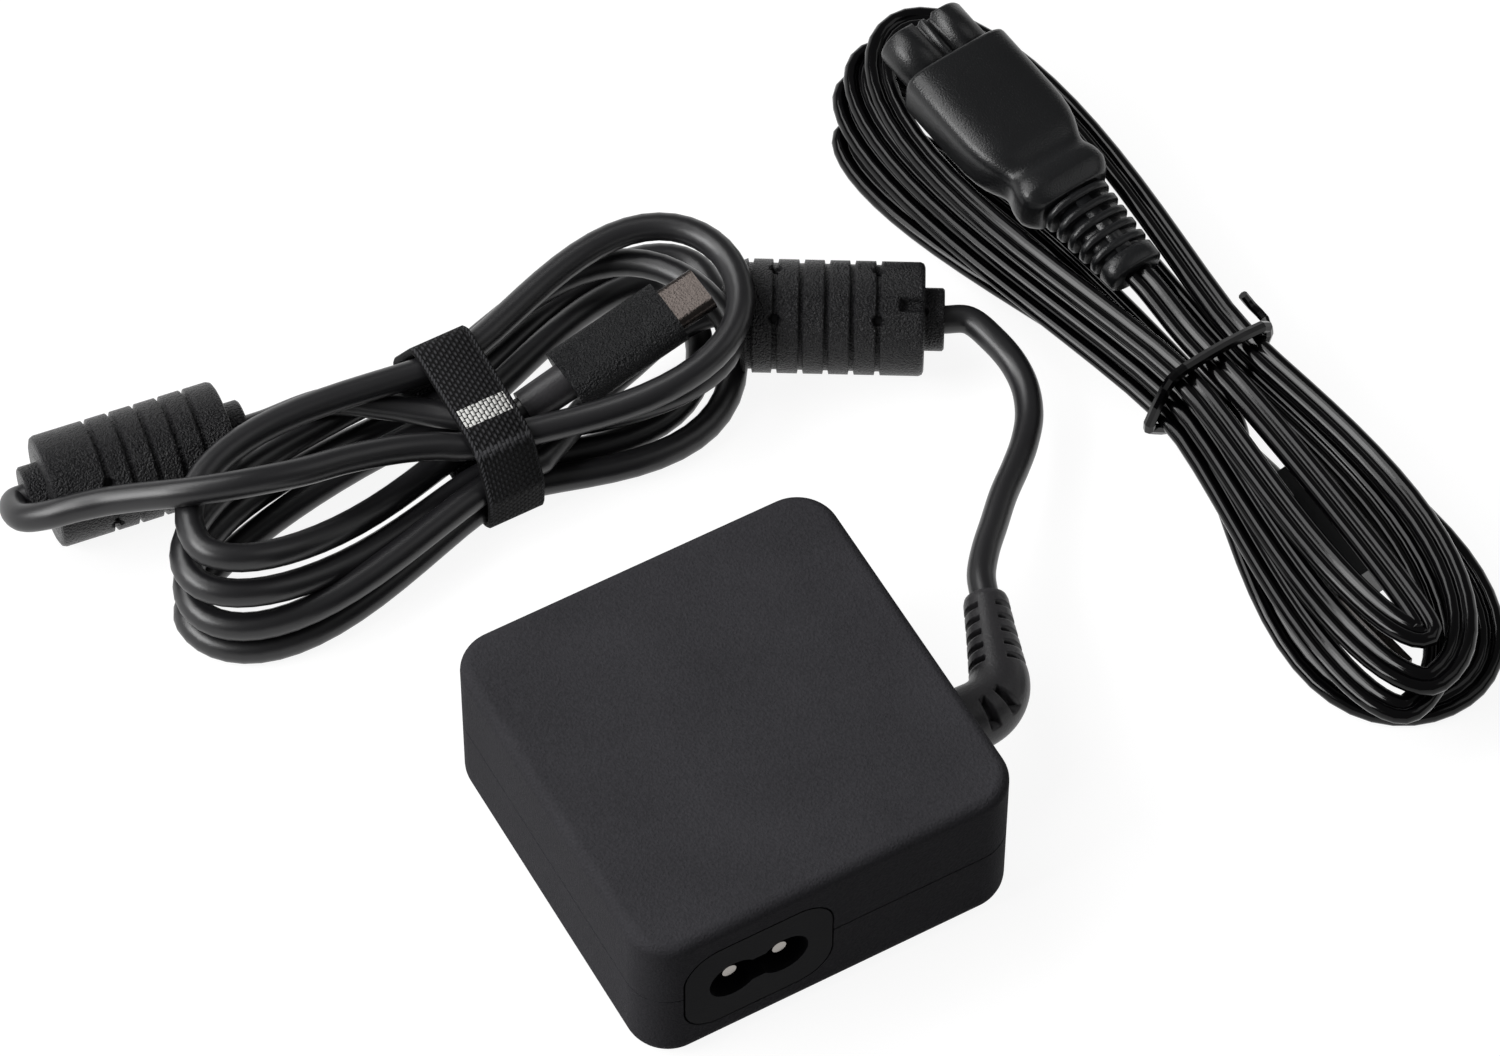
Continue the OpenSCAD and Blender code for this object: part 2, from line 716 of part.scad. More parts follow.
module output_wires() {
  inner_x = case_w / 2 - wall - seat_gap - flange_t;
  color([0.7, 0.2, 0.15])
    for (y = [-1, 1])
      translate([wire_x, exit_y + y * wire_gap, 0]) {
        translate([0, 0, top_z - board_t])
          cylinder(r = wire_r, h = exit_z - wire_bend - top_z + board_t);
        translate([wire_bend, 0, exit_z - wire_bend])
          rotate([90, 0, 0])
            rotate_extrude(angle = 90, start = 90)
              translate([wire_bend, 0])
                circle(r = wire_r);
        translate([wire_bend, 0, exit_z])
          rotate([0, 90, 0])
            cylinder(r = wire_r, h = inner_x - wire_x - wire_bend);
      }
}

// Side slots of the second arm leave a round core as thick as the lead's cover
module output_boot() {
  color([0.13, 0.13, 0.14])
    translate([case_w / 2, exit_y, exit_z])
      difference() {
        union() {
          translate([-wall - seat_gap - flange_t, 0, 0])
            rotate([0, 90, 0])
              cylinder(r = flange_r, h = flange_t);
          translate([-wall - 1, 0, 0])
            rotate([0, 90, 0])
              cylinder(r = arm_r, h = arm_l + wall + 1);
          rotate([0, 90, 0])
            cylinder(r = collar_r, h = collar_t);
          translate([arm_l, 0, 0])
            sphere(r = arm_r);
          translate([arm_l, 0, 0])
            rotate([0, 90, arm_turn])
              cylinder(r1 = arm_r, r2 = lead_r + 1, h = arm_end);
        }
        translate([arm_l, 0, 0])
          rotate([0, 0, arm_turn])
            for (k = [0:4], side = [-1, 1])
              translate([arm_r + 0.2 + slot_pitch * k, side * (lead_r + 2.3 - 0.1 * k), 0])
                cube([slot_w, 3.4, 5], center = true);
        for (y = [-1.5, 1.5])
          translate([arm_l - 1, y - arm_r - 0.2, 1.6])
            cube([2.6, 1.2, 5]);
      }
}

module lead_first_stretch() {
  color([0.12, 0.12, 0.13])
    translate(shift)
      cord(smooth(first_route, 2), round_section(lead_d, 10), boot_axis, -near_axis);
}

// Cover turned about its own axis: boss, five grooves and a slotted collar
module cover_profile(l, boss_r, boss_h, collar) {
  r = ferrite_d / 2;
  polygon([[0, -boss_h], [boss_r, -boss_h], [boss_r, 0], [r - 1, 0], [r, 1],
           [r, l - 23.6], [r - 0.5, l - 23.3], [r - 0.5, l - 22.7], [r, l - 22.4],
           [r, l - 18.6], [r - 0.5, l - 18.3], [r - 0.5, l - 17.7], [r, l - 17.4],
           [r, l - 13.6], [r - 0.5, l - 13.3], [r - 0.5, l - 12.7], [r, l - 12.4],
           [r, l - 8.6], [r - 0.5, l - 8.3], [r - 0.5, l - 7.7], [r, l - 7.4],
           [r, l - 3.6], [r - 0.5, l - 3.3], [r - 0.5, l - 2.7], [r, l - 2.4],
           [r, l - 1], [r - 1, l], [collar, l], [collar, l + end_l], [0, l + end_l]]);
}
module ferrite_cover(l, boss_r, boss_h, collar, spin) {
  difference() {
    rotate_extrude()
      cover_profile(l, boss_r, boss_h, collar);
    translate([0, 0, -boss_h - 1])
      cylinder(r = lead_r + 0.03, h = l + boss_h + end_l + 2);
    translate([0, 0, 2])
      cylinder(r = core_r + play, h = l - 4);
    for (a = [-10, -75], z = [3.5, l - 8])
      rotate([0, 0, a + spin])
        translate([ferrite_d / 2 - 0.7, -0.6, z - 1])
          cube([2, 1.2, 2]);
    rotate([0, 0, spin - 46])
      translate([ferrite_d / 2 - 0.8, -0.9, l - 3])
        cube([2, 1.8, 2.4]);
  }
}
module ferrite_core(l) {
  translate([0, 0, 2.1])
    difference() {
      cylinder(r = core_r, h = l - 4.2);
      translate([0, 0, -1])
        cylinder(r = bore_r, h = l);
    }
}
module along(start, axis) {
  translate(shift + start)
    rotate([0, 90, atan2(axis[1], axis[0])])
      children();
}

module ferrite_cover_near() {
  color([0.15, 0.15, 0.16])
    along(near_left, near_axis)
      ferrite_cover(near_l, 3.5, end_l, 4.7, 180);
}
module ferrite_core_near() {
  color([0.3, 0.3, 0.32])
    along(near_left, near_axis)
      ferrite_core(near_l);
}
module lead_through_near() {
  color([0.12, 0.12, 0.13])
    along(near_left - end_l * near_axis, near_axis)
      cylinder(r = lead_r, h = near_l + 2 * end_l);
}
module ferrite_cover_far() {
  color([0.15, 0.15, 0.16])
    along(far_left, far_axis)
      ferrite_cover(far_l, 3.5, end_l, 4.6, 180);
}
module ferrite_core_far() {
  color([0.3, 0.3, 0.32])
    along(far_left, far_axis)
      ferrite_core(far_l);
}
module lead_through_far() {
  color([0.12, 0.12, 0.13])
    along(far_left - end_l * far_axis, far_axis)
      cylinder(r = lead_r, h = far_l + 2 * end_l);
}

module lead_hank() {
  color([0.12, 0.12, 0.13])
    translate(shift)
      cord(lead_line, round_section(lead_d, 6), -near_axis, [-1, 0, 0]);
}
module lead_reach() {
  color([0.12, 0.12, 0.13])
    translate(shift)
      cord(smooth(reach_route, 2), round_section(lead_d, 10), [-1, 0, 0], far_axis);
}
module lead_plug_stretch() {
  color([0.12, 0.12, 0.13])
    translate(shift)
      cord(smooth(tail_route, 2), round_section(lead_d, 8), far_axis, plug_axis);
}

module at_plug() {
  translate(shift + plug_at)
    rotate([0, -plug_rise, plug_turn])
      children();
}
module stadium(w, t, l) {
  rotate([90, 0, 90])
    linear_extrude(l)
      stadium_outline(w, t);
}
module stadium_outline(w, t) {
  square([w - t, t], center = true);
  for (y = [-1, 1])
    translate([y * (w - t) / 2, 0])
      circle(d = t);
}
module plug_boot() {
  color([0.13, 0.13, 0.14])
    at_plug()
      translate([-boot_l, 0, 0])
        rotate([0, 90, 0])
          cylinder(r1 = plug_t / 2 - 0.1, r2 = plug_t / 2, h = boot_l);
}
module plug_cover() {
  color([0.13, 0.13, 0.14])
    at_plug()
      difference() {
        stadium(plug_w, plug_t, plug_l);
        translate([plug_l - 6, 0, 0])
          stadium(usb_w + play, usb_t + play, 8);
      }
}
module plug_shell() {
  color([0.8, 0.79, 0.75])
    at_plug()
      difference() {
        translate([plug_l - shell_back, 0, 0])
          stadium(usb_w, usb_t, shell_l + shell_back);
        translate([plug_l - shell_back + 3 * usb_wall, 0, 0])
          stadium(usb_w - 2 * usb_wall, usb_t - 2 * usb_wall, shell_l + 8);
      }
}
module plug_insert() {
  color([0.08, 0.08, 0.09])
    at_plug()
      difference() {
        translate([plug_l - shell_back + 3 * usb_wall, 0, 0])
          stadium(usb_w - 2 * usb_wall - play, usb_t - 2 * usb_wall - play, shell_l + shell_back - 1.5);
        translate([plug_l - 1, -3.2, -0.4])
          cube([shell_l + 4, 6.4, 0.8]);
      }
}

// Where the strands cross the strap, as [x, y, z] on each side of the tie
function strand_at(h, leg, x) =
  let (s = x / h[3], c = sqrt(1 - s * s), place = lead_places[leg == 0 ? h[1] : h[2]],
       swell = leg == 0 ? h[6] : h[7])
  [h[4] * (1 - c) + place[0] * c + swell * c * s * s / (s + 0.18) + lead_tie[1],
   lead_base + h[5] + (place[1] + lead_lift - h[5]) * pow(c, 4)];
strap_spots = concat([for (h = lead_halves, leg = [0, 1], x = [0.5, 6]) strand_at(h, leg, x)],
                     [[70, 9.3], [69.6, 9.4], [73.8, 15.4], [74.3, 15.8], [83, 12], [82.2, 12.1],
                      [79.2, 12.6], [80, 12.7], [78.6, 12.4]]);
module strap_outline(grow) {
  hull()
    for (p = strap_spots)
      translate(p)
        circle(r = lead_r + grow, $fn = 32);
}
module cord_strap() {
  inside_gap = 0.2;
  color([0.3, 0.3, 0.31])
    translate(shift + [lead_tie[0] - strap_w / 2, 0, 0])
      rotate([90, 0, 90]) {
        linear_extrude(strap_w)
          intersection() {
            difference() {
              strap_outline(inside_gap + strap_t);
              strap_outline(inside_gap);
            }
            translate([0, 0.05])
              square([200, 60]);
          }
      }
}

// Mains lead in its own frame
module mains_frame() {
  translate(shift + [mains_at[0], mains_at[1], 0])
    rotate([0, 0, mains_turn])
      children();
}
module at_connector() {
  mains_frame()
    translate(connector_at)
      rotate([0, -connector_rise, connector_turn])
        children();
}
module mains_connector() {
  x0 = rib_l + neck_l;
  x1 = x0 + shoulder_l;
  color([0.12, 0.12, 0.13])
    at_connector()
      difference() {
        union() {
          intersection() {
            translate([x0, 0, 0])
              rotate([90, 0, 90])
                linear_extrude(shoulder_l)
                  plate_outline(body_w, body_t, body_r);
            translate([0, 0, -10])
              linear_extrude(20)
                polygon([[x0, 0.8 - neck_w / 2], [x0 + 3, 0.3 - neck_w / 2], [x0 + 8, 0.6 - body_w / 2],
                         [x0 + 13, -body_w / 2], [x1, -body_w / 2], [x1, body_w / 2],
                         [x0 + 13, body_w / 2], [x0 + 8, body_w / 2 - 0.6],
                         [x0 + 3, neck_w / 2 - 0.3], [x0, neck_w / 2 - 0.8]]);
            translate([0, 20, 0])
              rotate([90, 0, 0])
                linear_extrude(40)
                  polygon([[x0, -neck_t / 2 - 0.1], [x0 + 12, -body_t / 2], [x1, -body_t / 2],
                           [x1, body_t / 2], [x0 + 12, body_t / 2], [x0, neck_t / 2 + 0.1]]);
          }
          translate([rib_l, 0, 0])
            rotate([90, 0, 90])
              linear_extrude(neck_l + 0.5)
                plate_outline(neck_w, neck_t, body_r + 0.3);
          translate([x1 - 1, 0, 0])
            rotate([90, 0, 90])
              linear_extrude(nose_l + 1)
                socket_outline(nose_r, nose_off);
        }
        for (y = [-1, 1])
          translate([x1 + nose_l - contact_l - 1, y * pin_pitch / 2, 0])
            rotate([0, 90, 0])
              cylinder(r = contact_r + 0.03, h = contact_l + 2);
        for (y = [-2.4, 2.4])
          translate([x1, y - 0.4, nose_r - 0.9])
            cube([nose_l + 1, 0.8, 2]);
      }
}
module connector_contacts() {
  color([0.8, 0.68, 0.35])
    at_connector()
      for (y = [-1, 1])
        translate([rib_l + neck_l + shoulder_l + nose_l - contact_l - 1, y * pin_pitch / 2, 0])
          rotate([0, 90, 0])
            difference() {
              cylinder(r = contact_r, h = contact_l);
              translate([0, 0, 1])
                cylinder(r = pin_d / 2 + 0.05, h = contact_l);
            }
}
module connector_boot() {
  color([0.12, 0.12, 0.13])
    at_connector()
      difference() {
        intersection() {
          rotate([90, 0, 90])
            linear_extrude(rib_l)
              plate_outline(rib_w, rib_t, 3);
          translate([0, 0, -8])
            linear_extrude(16)
              polygon([[0, 1.6 - rib_w / 2], [rib_l, -rib_w / 2], [rib_l, rib_w / 2],
                       [0, rib_w / 2 - 1.6]]);
          translate([0, 10, 0])
            rotate([90, 0, 0])
              linear_extrude(20)
                polygon([[0, 0.9 - rib_t / 2], [rib_l, -rib_t / 2], [rib_l, rib_t / 2],
                         [0, rib_t / 2 - 0.9]]);
        }
        for (k = [0:4], side = [-1, 1])
          translate([2.2 + rib_pitch * k, side * (rib_w / 2 + 0.2), 0])
            cube([rib_slot, 5.2, 12], center = true);
        for (k = [0:4], side = [-1, 1])
          translate([3.4 + rib_pitch * k, 0, side * (rib_t / 2 + 0.5)])
            cube([rib_slot, 6, 3], center = true);
      }
}
module mains_lead_stretch() {
  color([0.12, 0.12, 0.13])
    mains_frame()
      cord(smooth(mains_first, 2), twin_section(twin_d), -connector_axis, [1, 0, 0]);
}
module mains_hank() {
  color([0.12, 0.12, 0.13])
    mains_frame()
      cord(mains_line, twin_section(twin_d), [1, 0, 0], [1, 0, 0]);
}
module mains_plug_stretch() {
  color([0.12, 0.12, 0.13])
    mains_frame()
      cord(smooth(mains_tail, 2), twin_section(twin_d), [1, 0, 0], [1, 0, 0]);
}
module mains_plug() {
  color([0.12, 0.12, 0.13])
    mains_frame()
      translate(mains_plug_at)
        difference() {
          union() {
            rotate([0, 90, 0])
              cylinder(r1 = 2.6, r2 = 2.8, h = 7);
            translate([6, 0, 0])
              rotate([90, 0, 90])
                linear_extrude(mains_neck - 5)
                  plate_outline(10.4, 6.4, mains_r);
            intersection() {
              translate([mains_neck, 0, 0])
                rotate([90, 0, 90])
                  linear_extrude(mains_l)
                    plate_outline(mains_w, mains_t, mains_r);
              translate([0, 0, -10])
                linear_extrude(20)
                  polygon([[mains_neck, 2.5 - mains_w / 2], [mains_neck + 2.5, -mains_w / 2],
                           [mains_neck + mains_l, -mains_w / 2], [mains_neck + mains_l, mains_w / 2],
                           [mains_neck + 2.5, mains_w / 2], [mains_neck, mains_w / 2 - 2.5]]);
            }
          }
          for (y = [-1, 1])
            translate([mains_neck + mains_l - blade_in - 0.1, y * blade_pitch / 2 - blade_t / 2 - eps,
                       -blade_h / 2 - eps])
              cube([blade_in + 2, blade_t + 2 * eps, blade_h + 2 * eps]);
        }
}
module plug_blades() {
  color([0.82, 0.81, 0.76])
    mains_frame()
      translate(mains_plug_at + [mains_neck + mains_l - blade_in, 0, 0])
        for (y = [-1, 1])
          translate([0, y * blade_pitch / 2, 0])
            difference() {
              translate([0, -blade_t / 2, -blade_h / 2])
                cube([blade_l + blade_in, blade_t, blade_h]);
              translate([blade_l + blade_in - 3.5, 0, 0])
                rotate([90, 0, 0])
                  cylinder(r = blade_hole, h = blade_t + 2, center = true);
            }
}
module mains_tie() {
  loop = concat(tie_ring, [tie_ring[0]]);
  round = smooth([for (p = loop) [0, p[0], p[1]]], 2);
  color([0.14, 0.14, 0.15])
    mains_frame() {
      hoop([for (i = [0:len(round) - 2]) round[i]], tie_d, 8);
      cord(smooth(tie_tail, 2), round_section(tie_d * 0.8, 8));
    }
}
// Closed ring in the plane across the hank
module hoop(p, d, n) {
  count = len(p);
  points = [for (i = [0:count - 1]) each
    let (t = unit(p[(i + 1) % count] - p[(i + count - 1) % count]), s = [1, 0, 0], m = cross(s, t))
    [for (j = [0:n - 1]) p[i] + (cos(360 * j / n) * s + sin(360 * j / n) * m) * d / 2]];
  faces = [for (i = [0:count - 1], j = [0:n - 1])
    each [[i * n + j, ((i + 1) % count) * n + (j + 1) % n, i * n + (j + 1) % n],
          [i * n + j, ((i + 1) % count) * n + j, ((i + 1) % count) * n + (j + 1) % n]]];
  polyhedron(points = points, faces = faces);
}

upper_shell();
lower_shell();
inlet_body();
inlet_pins();
main_board();
insulating_sheet();
mains_fuse();
x_capacitor();
emi_choke_core();
emi_choke_winding();
bridge_rectifier();
bulk_capacitor();
transformer_base();
transformer_core();
transformer_winding();
heat_spreader();
power_transistor();
safety_capacitor();
output_capacitors();
controller_board();
output_wires();
output_boot();
lead_first_stretch();
ferrite_cover_near();
ferrite_core_near();
lead_through_near();
lead_hank();
lead_reach();
ferrite_cover_far();
ferrite_core_far();
lead_through_far();
lead_plug_stretch();
plug_boot();
plug_cover();
plug_shell();
plug_insert();
cord_strap();
mains_connector();
connector_contacts();
connector_boot();
mains_lead_stretch();
mains_hank();
mains_plug_stretch();
mains_plug();
plug_blades();
mains_tie();
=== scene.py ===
import json
from math import copysign, cos, hypot, pi, radians, sin, sqrt, tan

import bmesh
import bpy
from mathutils import Matrix, Vector


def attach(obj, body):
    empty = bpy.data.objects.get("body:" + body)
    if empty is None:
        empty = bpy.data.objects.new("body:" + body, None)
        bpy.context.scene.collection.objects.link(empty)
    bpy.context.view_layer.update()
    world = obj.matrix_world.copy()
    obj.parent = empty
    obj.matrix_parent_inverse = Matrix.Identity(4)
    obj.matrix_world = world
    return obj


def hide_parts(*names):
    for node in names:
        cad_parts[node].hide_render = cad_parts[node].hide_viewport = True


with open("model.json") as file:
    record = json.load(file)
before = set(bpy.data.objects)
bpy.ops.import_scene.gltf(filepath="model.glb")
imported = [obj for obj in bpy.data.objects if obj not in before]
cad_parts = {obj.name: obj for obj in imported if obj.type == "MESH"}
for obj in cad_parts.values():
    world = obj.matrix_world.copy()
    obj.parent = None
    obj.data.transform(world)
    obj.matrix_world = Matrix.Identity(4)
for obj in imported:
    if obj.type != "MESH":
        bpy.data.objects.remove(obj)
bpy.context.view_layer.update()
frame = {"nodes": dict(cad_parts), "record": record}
scene = bpy.context.scene
nodes = frame["nodes"]
mm = 0.001  # the settings of the pieces are in millimetres
upward = Vector((0, 0, 1))
print("stage: frame loaded")

cameraSettings = {
    "lens": 173.77,
    "sensor": 36,
    "clip": 0.05,
    "azimuth": -29.456,
    "elevation": 55.156,
    "roll": 0.362,
    "distance": 1.15439,
    "target": (0.029811, 0.048007, 0.0),
}


def placeCamera(settings):
    data = bpy.data.cameras.new("camera")
    data.lens = settings["lens"]
    data.sensor_width = settings["sensor"]
    data.clip_start = settings["clip"]
    camera = bpy.data.objects.new("camera", data)
    scene.collection.objects.link(camera)
    az, el = radians(settings["azimuth"]), radians(settings["elevation"])
    back = Vector((sin(az) * cos(el), -cos(az) * cos(el), sin(el)))
    turn = back.to_track_quat("Z", "Y").to_matrix() @ Matrix.Rotation(radians(settings["roll"]), 3, "Z")
    place = Matrix.Translation(Vector(settings["target"]) + back * settings["distance"])
    camera.matrix_world = place @ turn.to_4x4()
    scene.camera = camera


placeCamera(cameraSettings)


# a smooth line through given points
def smooth(points, steps):
    p = [Vector(q) for q in points]
    p = [2 * p[0] - p[1]] + p + [2 * p[-1] - p[-2]]
    out = []
    for i in range(1, len(p) - 2):
        a, b, c, d = p[i - 1:i + 3]
        for k in range(steps):
            t = k / steps
            out.append((2 * b + (c - a) * t + (2 * a - 5 * b + 4 * c - d) * t * t
                        + (3 * b - a - 3 * c + d) * t ** 3) / 2)
    return out + [p[-2]]


def lengthOf(points):
    return sum((b - a).length for a, b in zip(points, points[1:]))


# A hank is wound half turn by half turn. It is tied at one spot, where each of its strands has
# a place, as across and height. A row of "halves" says on which side the half turn lies, from
# which place to which it goes, how far it reaches, how far across and how high its far end is,
# and how much it swells on the way out and on the way back.
easing = {"swell": 0.18, "drop": 4}


def legAt(hank, row, goingBack, away):
    side, leaves, enters, reach, across, height, swellOut, swellBack = row
    near = sqrt(1 - away * away)
    place = hank["places"][enters if goingBack else leaves]
    swell = swellBack if goingBack else swellOut
    return (across * (1 - near) + place[0] * near + swell * near * away * away / (away + easing["swell"]),
            hank["base"] + height + (place[1] + hank["lift"] - height) * near ** easing["drop"])


def hankLine(hank):
    line = []
    for row in hank["halves"]:
        side, reach = row[0], row[3]
        for k in range(hank["steps"]):
            away = sin(pi * k / hank["steps"])
            line.append(Vector((side * reach * away, *legAt(hank, row, 2 * k > hank["steps"], away))))
    return line + [Vector((0, *legAt(hank, hank["halves"][-1], True, 0)))]


# where the two ferrite covers and the small plug lie on the output lead
nearSpan, farSpan = 27.5, 28.4
nearRight = Vector((71.2, 64.6, 9.2))
nearAxis = Vector((0.861, -0.509, 0))
nearLeft = nearRight - nearSpan * nearAxis
farRight = Vector((-38.3, 98.6, 9.2))
farAxis = Vector((0.991, -0.134, 0))
farLeft = farRight - farSpan * farAxis
plugAt = Vector((13, 78.2, 14.6))
plugTurn = Matrix.Rotation(radians(3), 3, "Z") @ Matrix.Rotation(radians(-14), 3, "Y")
plugAxis = plugTurn @ Vector((1, 0, 0))

leadSettings = {
    "diameter": 4.6,
    "tie": Vector((-2, 83, 0)),
    "base": 0.2,
    "lift": 1.5,
    "steps": 36,
    "places": [(-13, 7.5), (8.5, 2), (-12.5, 2.5), (2.5, 5.5), (-7.5, 2), (12, 6), (-2, 3.5),
               (6, 15.5), (-10.2, 13.2)],
    "halves": [
        (-1, 0, 1, 54.5, -10, 7.5, -20, 2), (1, 1, 2, 49, 11, 2, 25, -25.5),
        (-1, 2, 3, 55, -9.5, 2, -23, 2.5), (1, 3, 4, 43.5, 9.5, 2.5, 23, -21.5),
        (-1, 4, 5, 54, -8.5, 14, -23, -2), (1, 5, 6, 43.5, -5.5, 14, 19, -26.5),
        (-1, 6, 7, 51.5, -7, 19, -25, 12.5), (1, 7, 8, 47.5, 0.5, 19.5, 24, -20.5)],
    # the four open stretches: out of the boot, into the hank, over the hank, back to the plug
    "first": [(50.0, 8.7, 14.5), (50.5, 10.02, 14.5), (52.2, 14, 14.2), (55.4, 18.2, 13.4),
              (59.7, 22.8, 12), (64.4, 27.8, 10.5), (69.5, 32.5, 9), (73.5, 36.5, 8), (77, 41, 7.5),
              (79.2, 46, 7.5), (79.8, 51, 8), (79, 56, 8.8), (77.4, 60.9, 9.2), nearRight + 3 * nearAxis],
    "into": [nearLeft - 3 * nearAxis, nearLeft - 7.4 * nearAxis, (34.5, 83.3, 7.2), (26, 81, 6.5),
             (18, 77.6, 7.8), (10, 72.8, 9.4), (4, 70, 9.2)],
    "reach": [(-6.2, 73.8, 15.4), (-8.4, 74.4, 15.9), (-12, 75.8, 16.8), (-18, 77.2, 18.2),
              (-26, 77.8, 20.4), (-34, 77.9, 22.3), (-42, 79.2, 23.4), (-48, 81.2, 23.2),
              (-53, 83.8, 22.2), (-57.5, 87, 20.4), (-62, 90, 18.6), (-66.5, 92.2, 17.2),
              (-70.5, 94.2, 15.5), (-73.5, 97, 13.3), (-73.8, 100.5, 11), farLeft - 6 * farAxis,
              farLeft - 3 * farAxis],
    "tail": [farRight + 3 * farAxis, farRight + 7.2 * farAxis, (-22, 93.8, 13.6), (-14, 89.3, 12.7),
             (-8, 85, 12.1), (-2.5, 80.6, 12.2), (0.3, 78.6, 11.8), plugAt - 10.4 * plugAxis,
             plugAt - 8 * plugAxis],
    "fine": 8,
}


def leadLine(lead):
    loops = [p + lead["tie"] for p in hankLine(lead)]
    first, into, reach, tail = [smooth(lead[part], lead["fine"])
                                for part in ("first", "into", "reach", "tail")]
    return first + into + loops + reach + tail


def roundCord(name, points, diameter):
    data = bpy.data.curves.new(name, "CURVE")
    data.dimensions = "3D"
    data.bevel_depth = diameter * mm / 2
    data.bevel_resolution = 8  # smooth enough for a close view
    data.use_fill_caps = True
    spline = data.splines.new("POLY")
    spline.points.add(len(points) - 1)
    for point, p in zip(spline.points, points):
        point.co = (*(p * mm), 1)
    spline.use_smooth = True
    cord = bpy.data.objects.new(name, data)
    scene.collection.objects.link(cord)
    return cord


outputLine = leadLine(leadSettings)
outputLead = roundCord("outputLead", outputLine, leadSettings["diameter"])
print("stage: output lead", round(lengthOf(outputLine)), "mm")


# pieces are drawn as rings of corners, each pulled out of the one before it
def ringEdges(build, ring):
    return [build.edges.get(pair) for pair in zip(ring, ring[1:] + ring[:1])]


def drawRing(build, spots):
    ring = [build.verts.new(spot) for spot in spots]
    for pair in zip(ring, ring[1:] + ring[:1]):
        build.edges.new(pair)
    return ring


def pull(build, ring, spots):
    made = bmesh.ops.extrude_edge_only(build, edges=ringEdges(build, ring))["geom"]
    fresh = {part for part in made if isinstance(part, bmesh.types.BMVert)}
    after = [next(e.other_vert(v) for e in v.link_edges if e.other_vert(v) in fresh) for v in ring]
    for vert, spot in zip(after, spots):
        vert.co = spot
    return after


def pullAll(build, rings):
    drawn = [drawRing(build, rings[0])]
    for spots in rings[1:]:
        drawn.append(pull(build, drawn[-1], spots))
    return drawn


def fill(build, *rings):
    for ring in rings:
        bmesh.ops.edgeloop_fill(build, edges=ringEdges(build, ring))


def solid(build, rings):
    drawn = pullAll(build, rings)
    fill(build, drawn[0], drawn[-1])


def finishPiece(name, build, place, rounded=True):
    bmesh.ops.transform(build, matrix=place, verts=build.verts)
    bmesh.ops.recalc_face_normals(build, faces=build.faces)
    for face in build.faces:
        face.smooth = rounded
    data = bpy.data.meshes.new(name)
    build.to_mesh(data)
    build.free()
    piece = bpy.data.objects.new(name, data)
    scene.collection.objects.link(piece)
    return piece


inMillimetres = Matrix.Scale(mm, 4)


def crossways(along):
    side = along.cross(upward).normalized()
    return side, side.cross(along)


# the mains lead lies in its own frame: x along the hank, its tie in the middle
mainsFrame = Matrix.Translation((104, 31, 0)) @ Matrix.Rotation(radians(-81.08), 4, "Z")
connectorAt = Vector((-20.8, 2.5, 15.7))
connectorTurn = Matrix.Rotation(radians(178), 4, "Z") @ Matrix.Rotation(radians(-3), 4, "Y")

mainsSettings = {
    "core": 2.5,  # the lead is a flat twin, two cores side by side
    "notch": 24,
    "coreSteps": 14,
    "base": 0,
    "lift": 2.2,
    "steps": 36,
    "places": [(1, 13), (-5, 13.5), (8.5, 11.5), (-6.5, 10), (5.5, 8.5), (-8, 7), (6, 5), (-4, 4),
               (1.5, 1.5)],
    "halves": [
        (1, 0, 1, 61.5, -8, 18, -6, -13), (-1, 1, 2, 87, 6.5, 11, -16, 22.5),
        (1, 2, 3, 67.5, -11, 15, 8.5, -19), (-1, 3, 4, 87, 0.5, 7.5, -14, 13.5),
        (1, 4, 5, 67.5, -16, 11.5, 8, -21), (-1, 5, 6, 85.5, -4, 4.5, -12, 9),
        (1, 6, 7, 66, -3, 1.5, 24, -37.5), (-1, 7, 8, 80, -9, 1.5, -18.5, 6)],
    "first": [connectorAt, (-16.8, 2.35, 15.5), (-9, 1.5, 15.3), (-5, 1.2, 15.2)],
    "tail": [(3, 1.4, 3.7), (4.4, 1.35, 3.7), (6.6, 0.4, 3.8), (9, -1.1, 4.1), (11.6, -2, 4.85),
             (13, -2, 4.9)],
    "fine": 6,
}


def mainsLine(mains):
    line = smooth(mains["first"], mains["fine"]) + hankLine(mains) + smooth(mains["tail"], mains["fine"])
    return [mainsFrame @ p for p in line]


def twinSection(mains):
    r = mains["core"] / 2
    notch = radians(mains["notch"])
    half = []
    for k in range(mains["coreSteps"] + 1):
        a = notch - pi + 2 * (pi - notch) * k / mains["coreSteps"]
        half.append((r + r * cos(a), r * sin(a)))
    return half + [(-x, -y) for x, y in half]


def twinCord(name, points, section):
    rings = []
    for i, p in enumerate(points):
        along = points[min(i + 1, len(points) - 1)] - points[max(i - 1, 0)]
        side, rise = crossways(along.normalized())
        rings.append([p + side * x + rise * y for x, y in section])
    build = bmesh.new()
    solid(build, rings)
    return finishPiece(name, build, inMillimetres)


twinLine = mainsLine(mainsSettings)
mainsCord = twinCord("mainsCord", twinLine, twinSection(mainsSettings))
print("stage: mains lead", round(lengthOf(twinLine)), "mm")


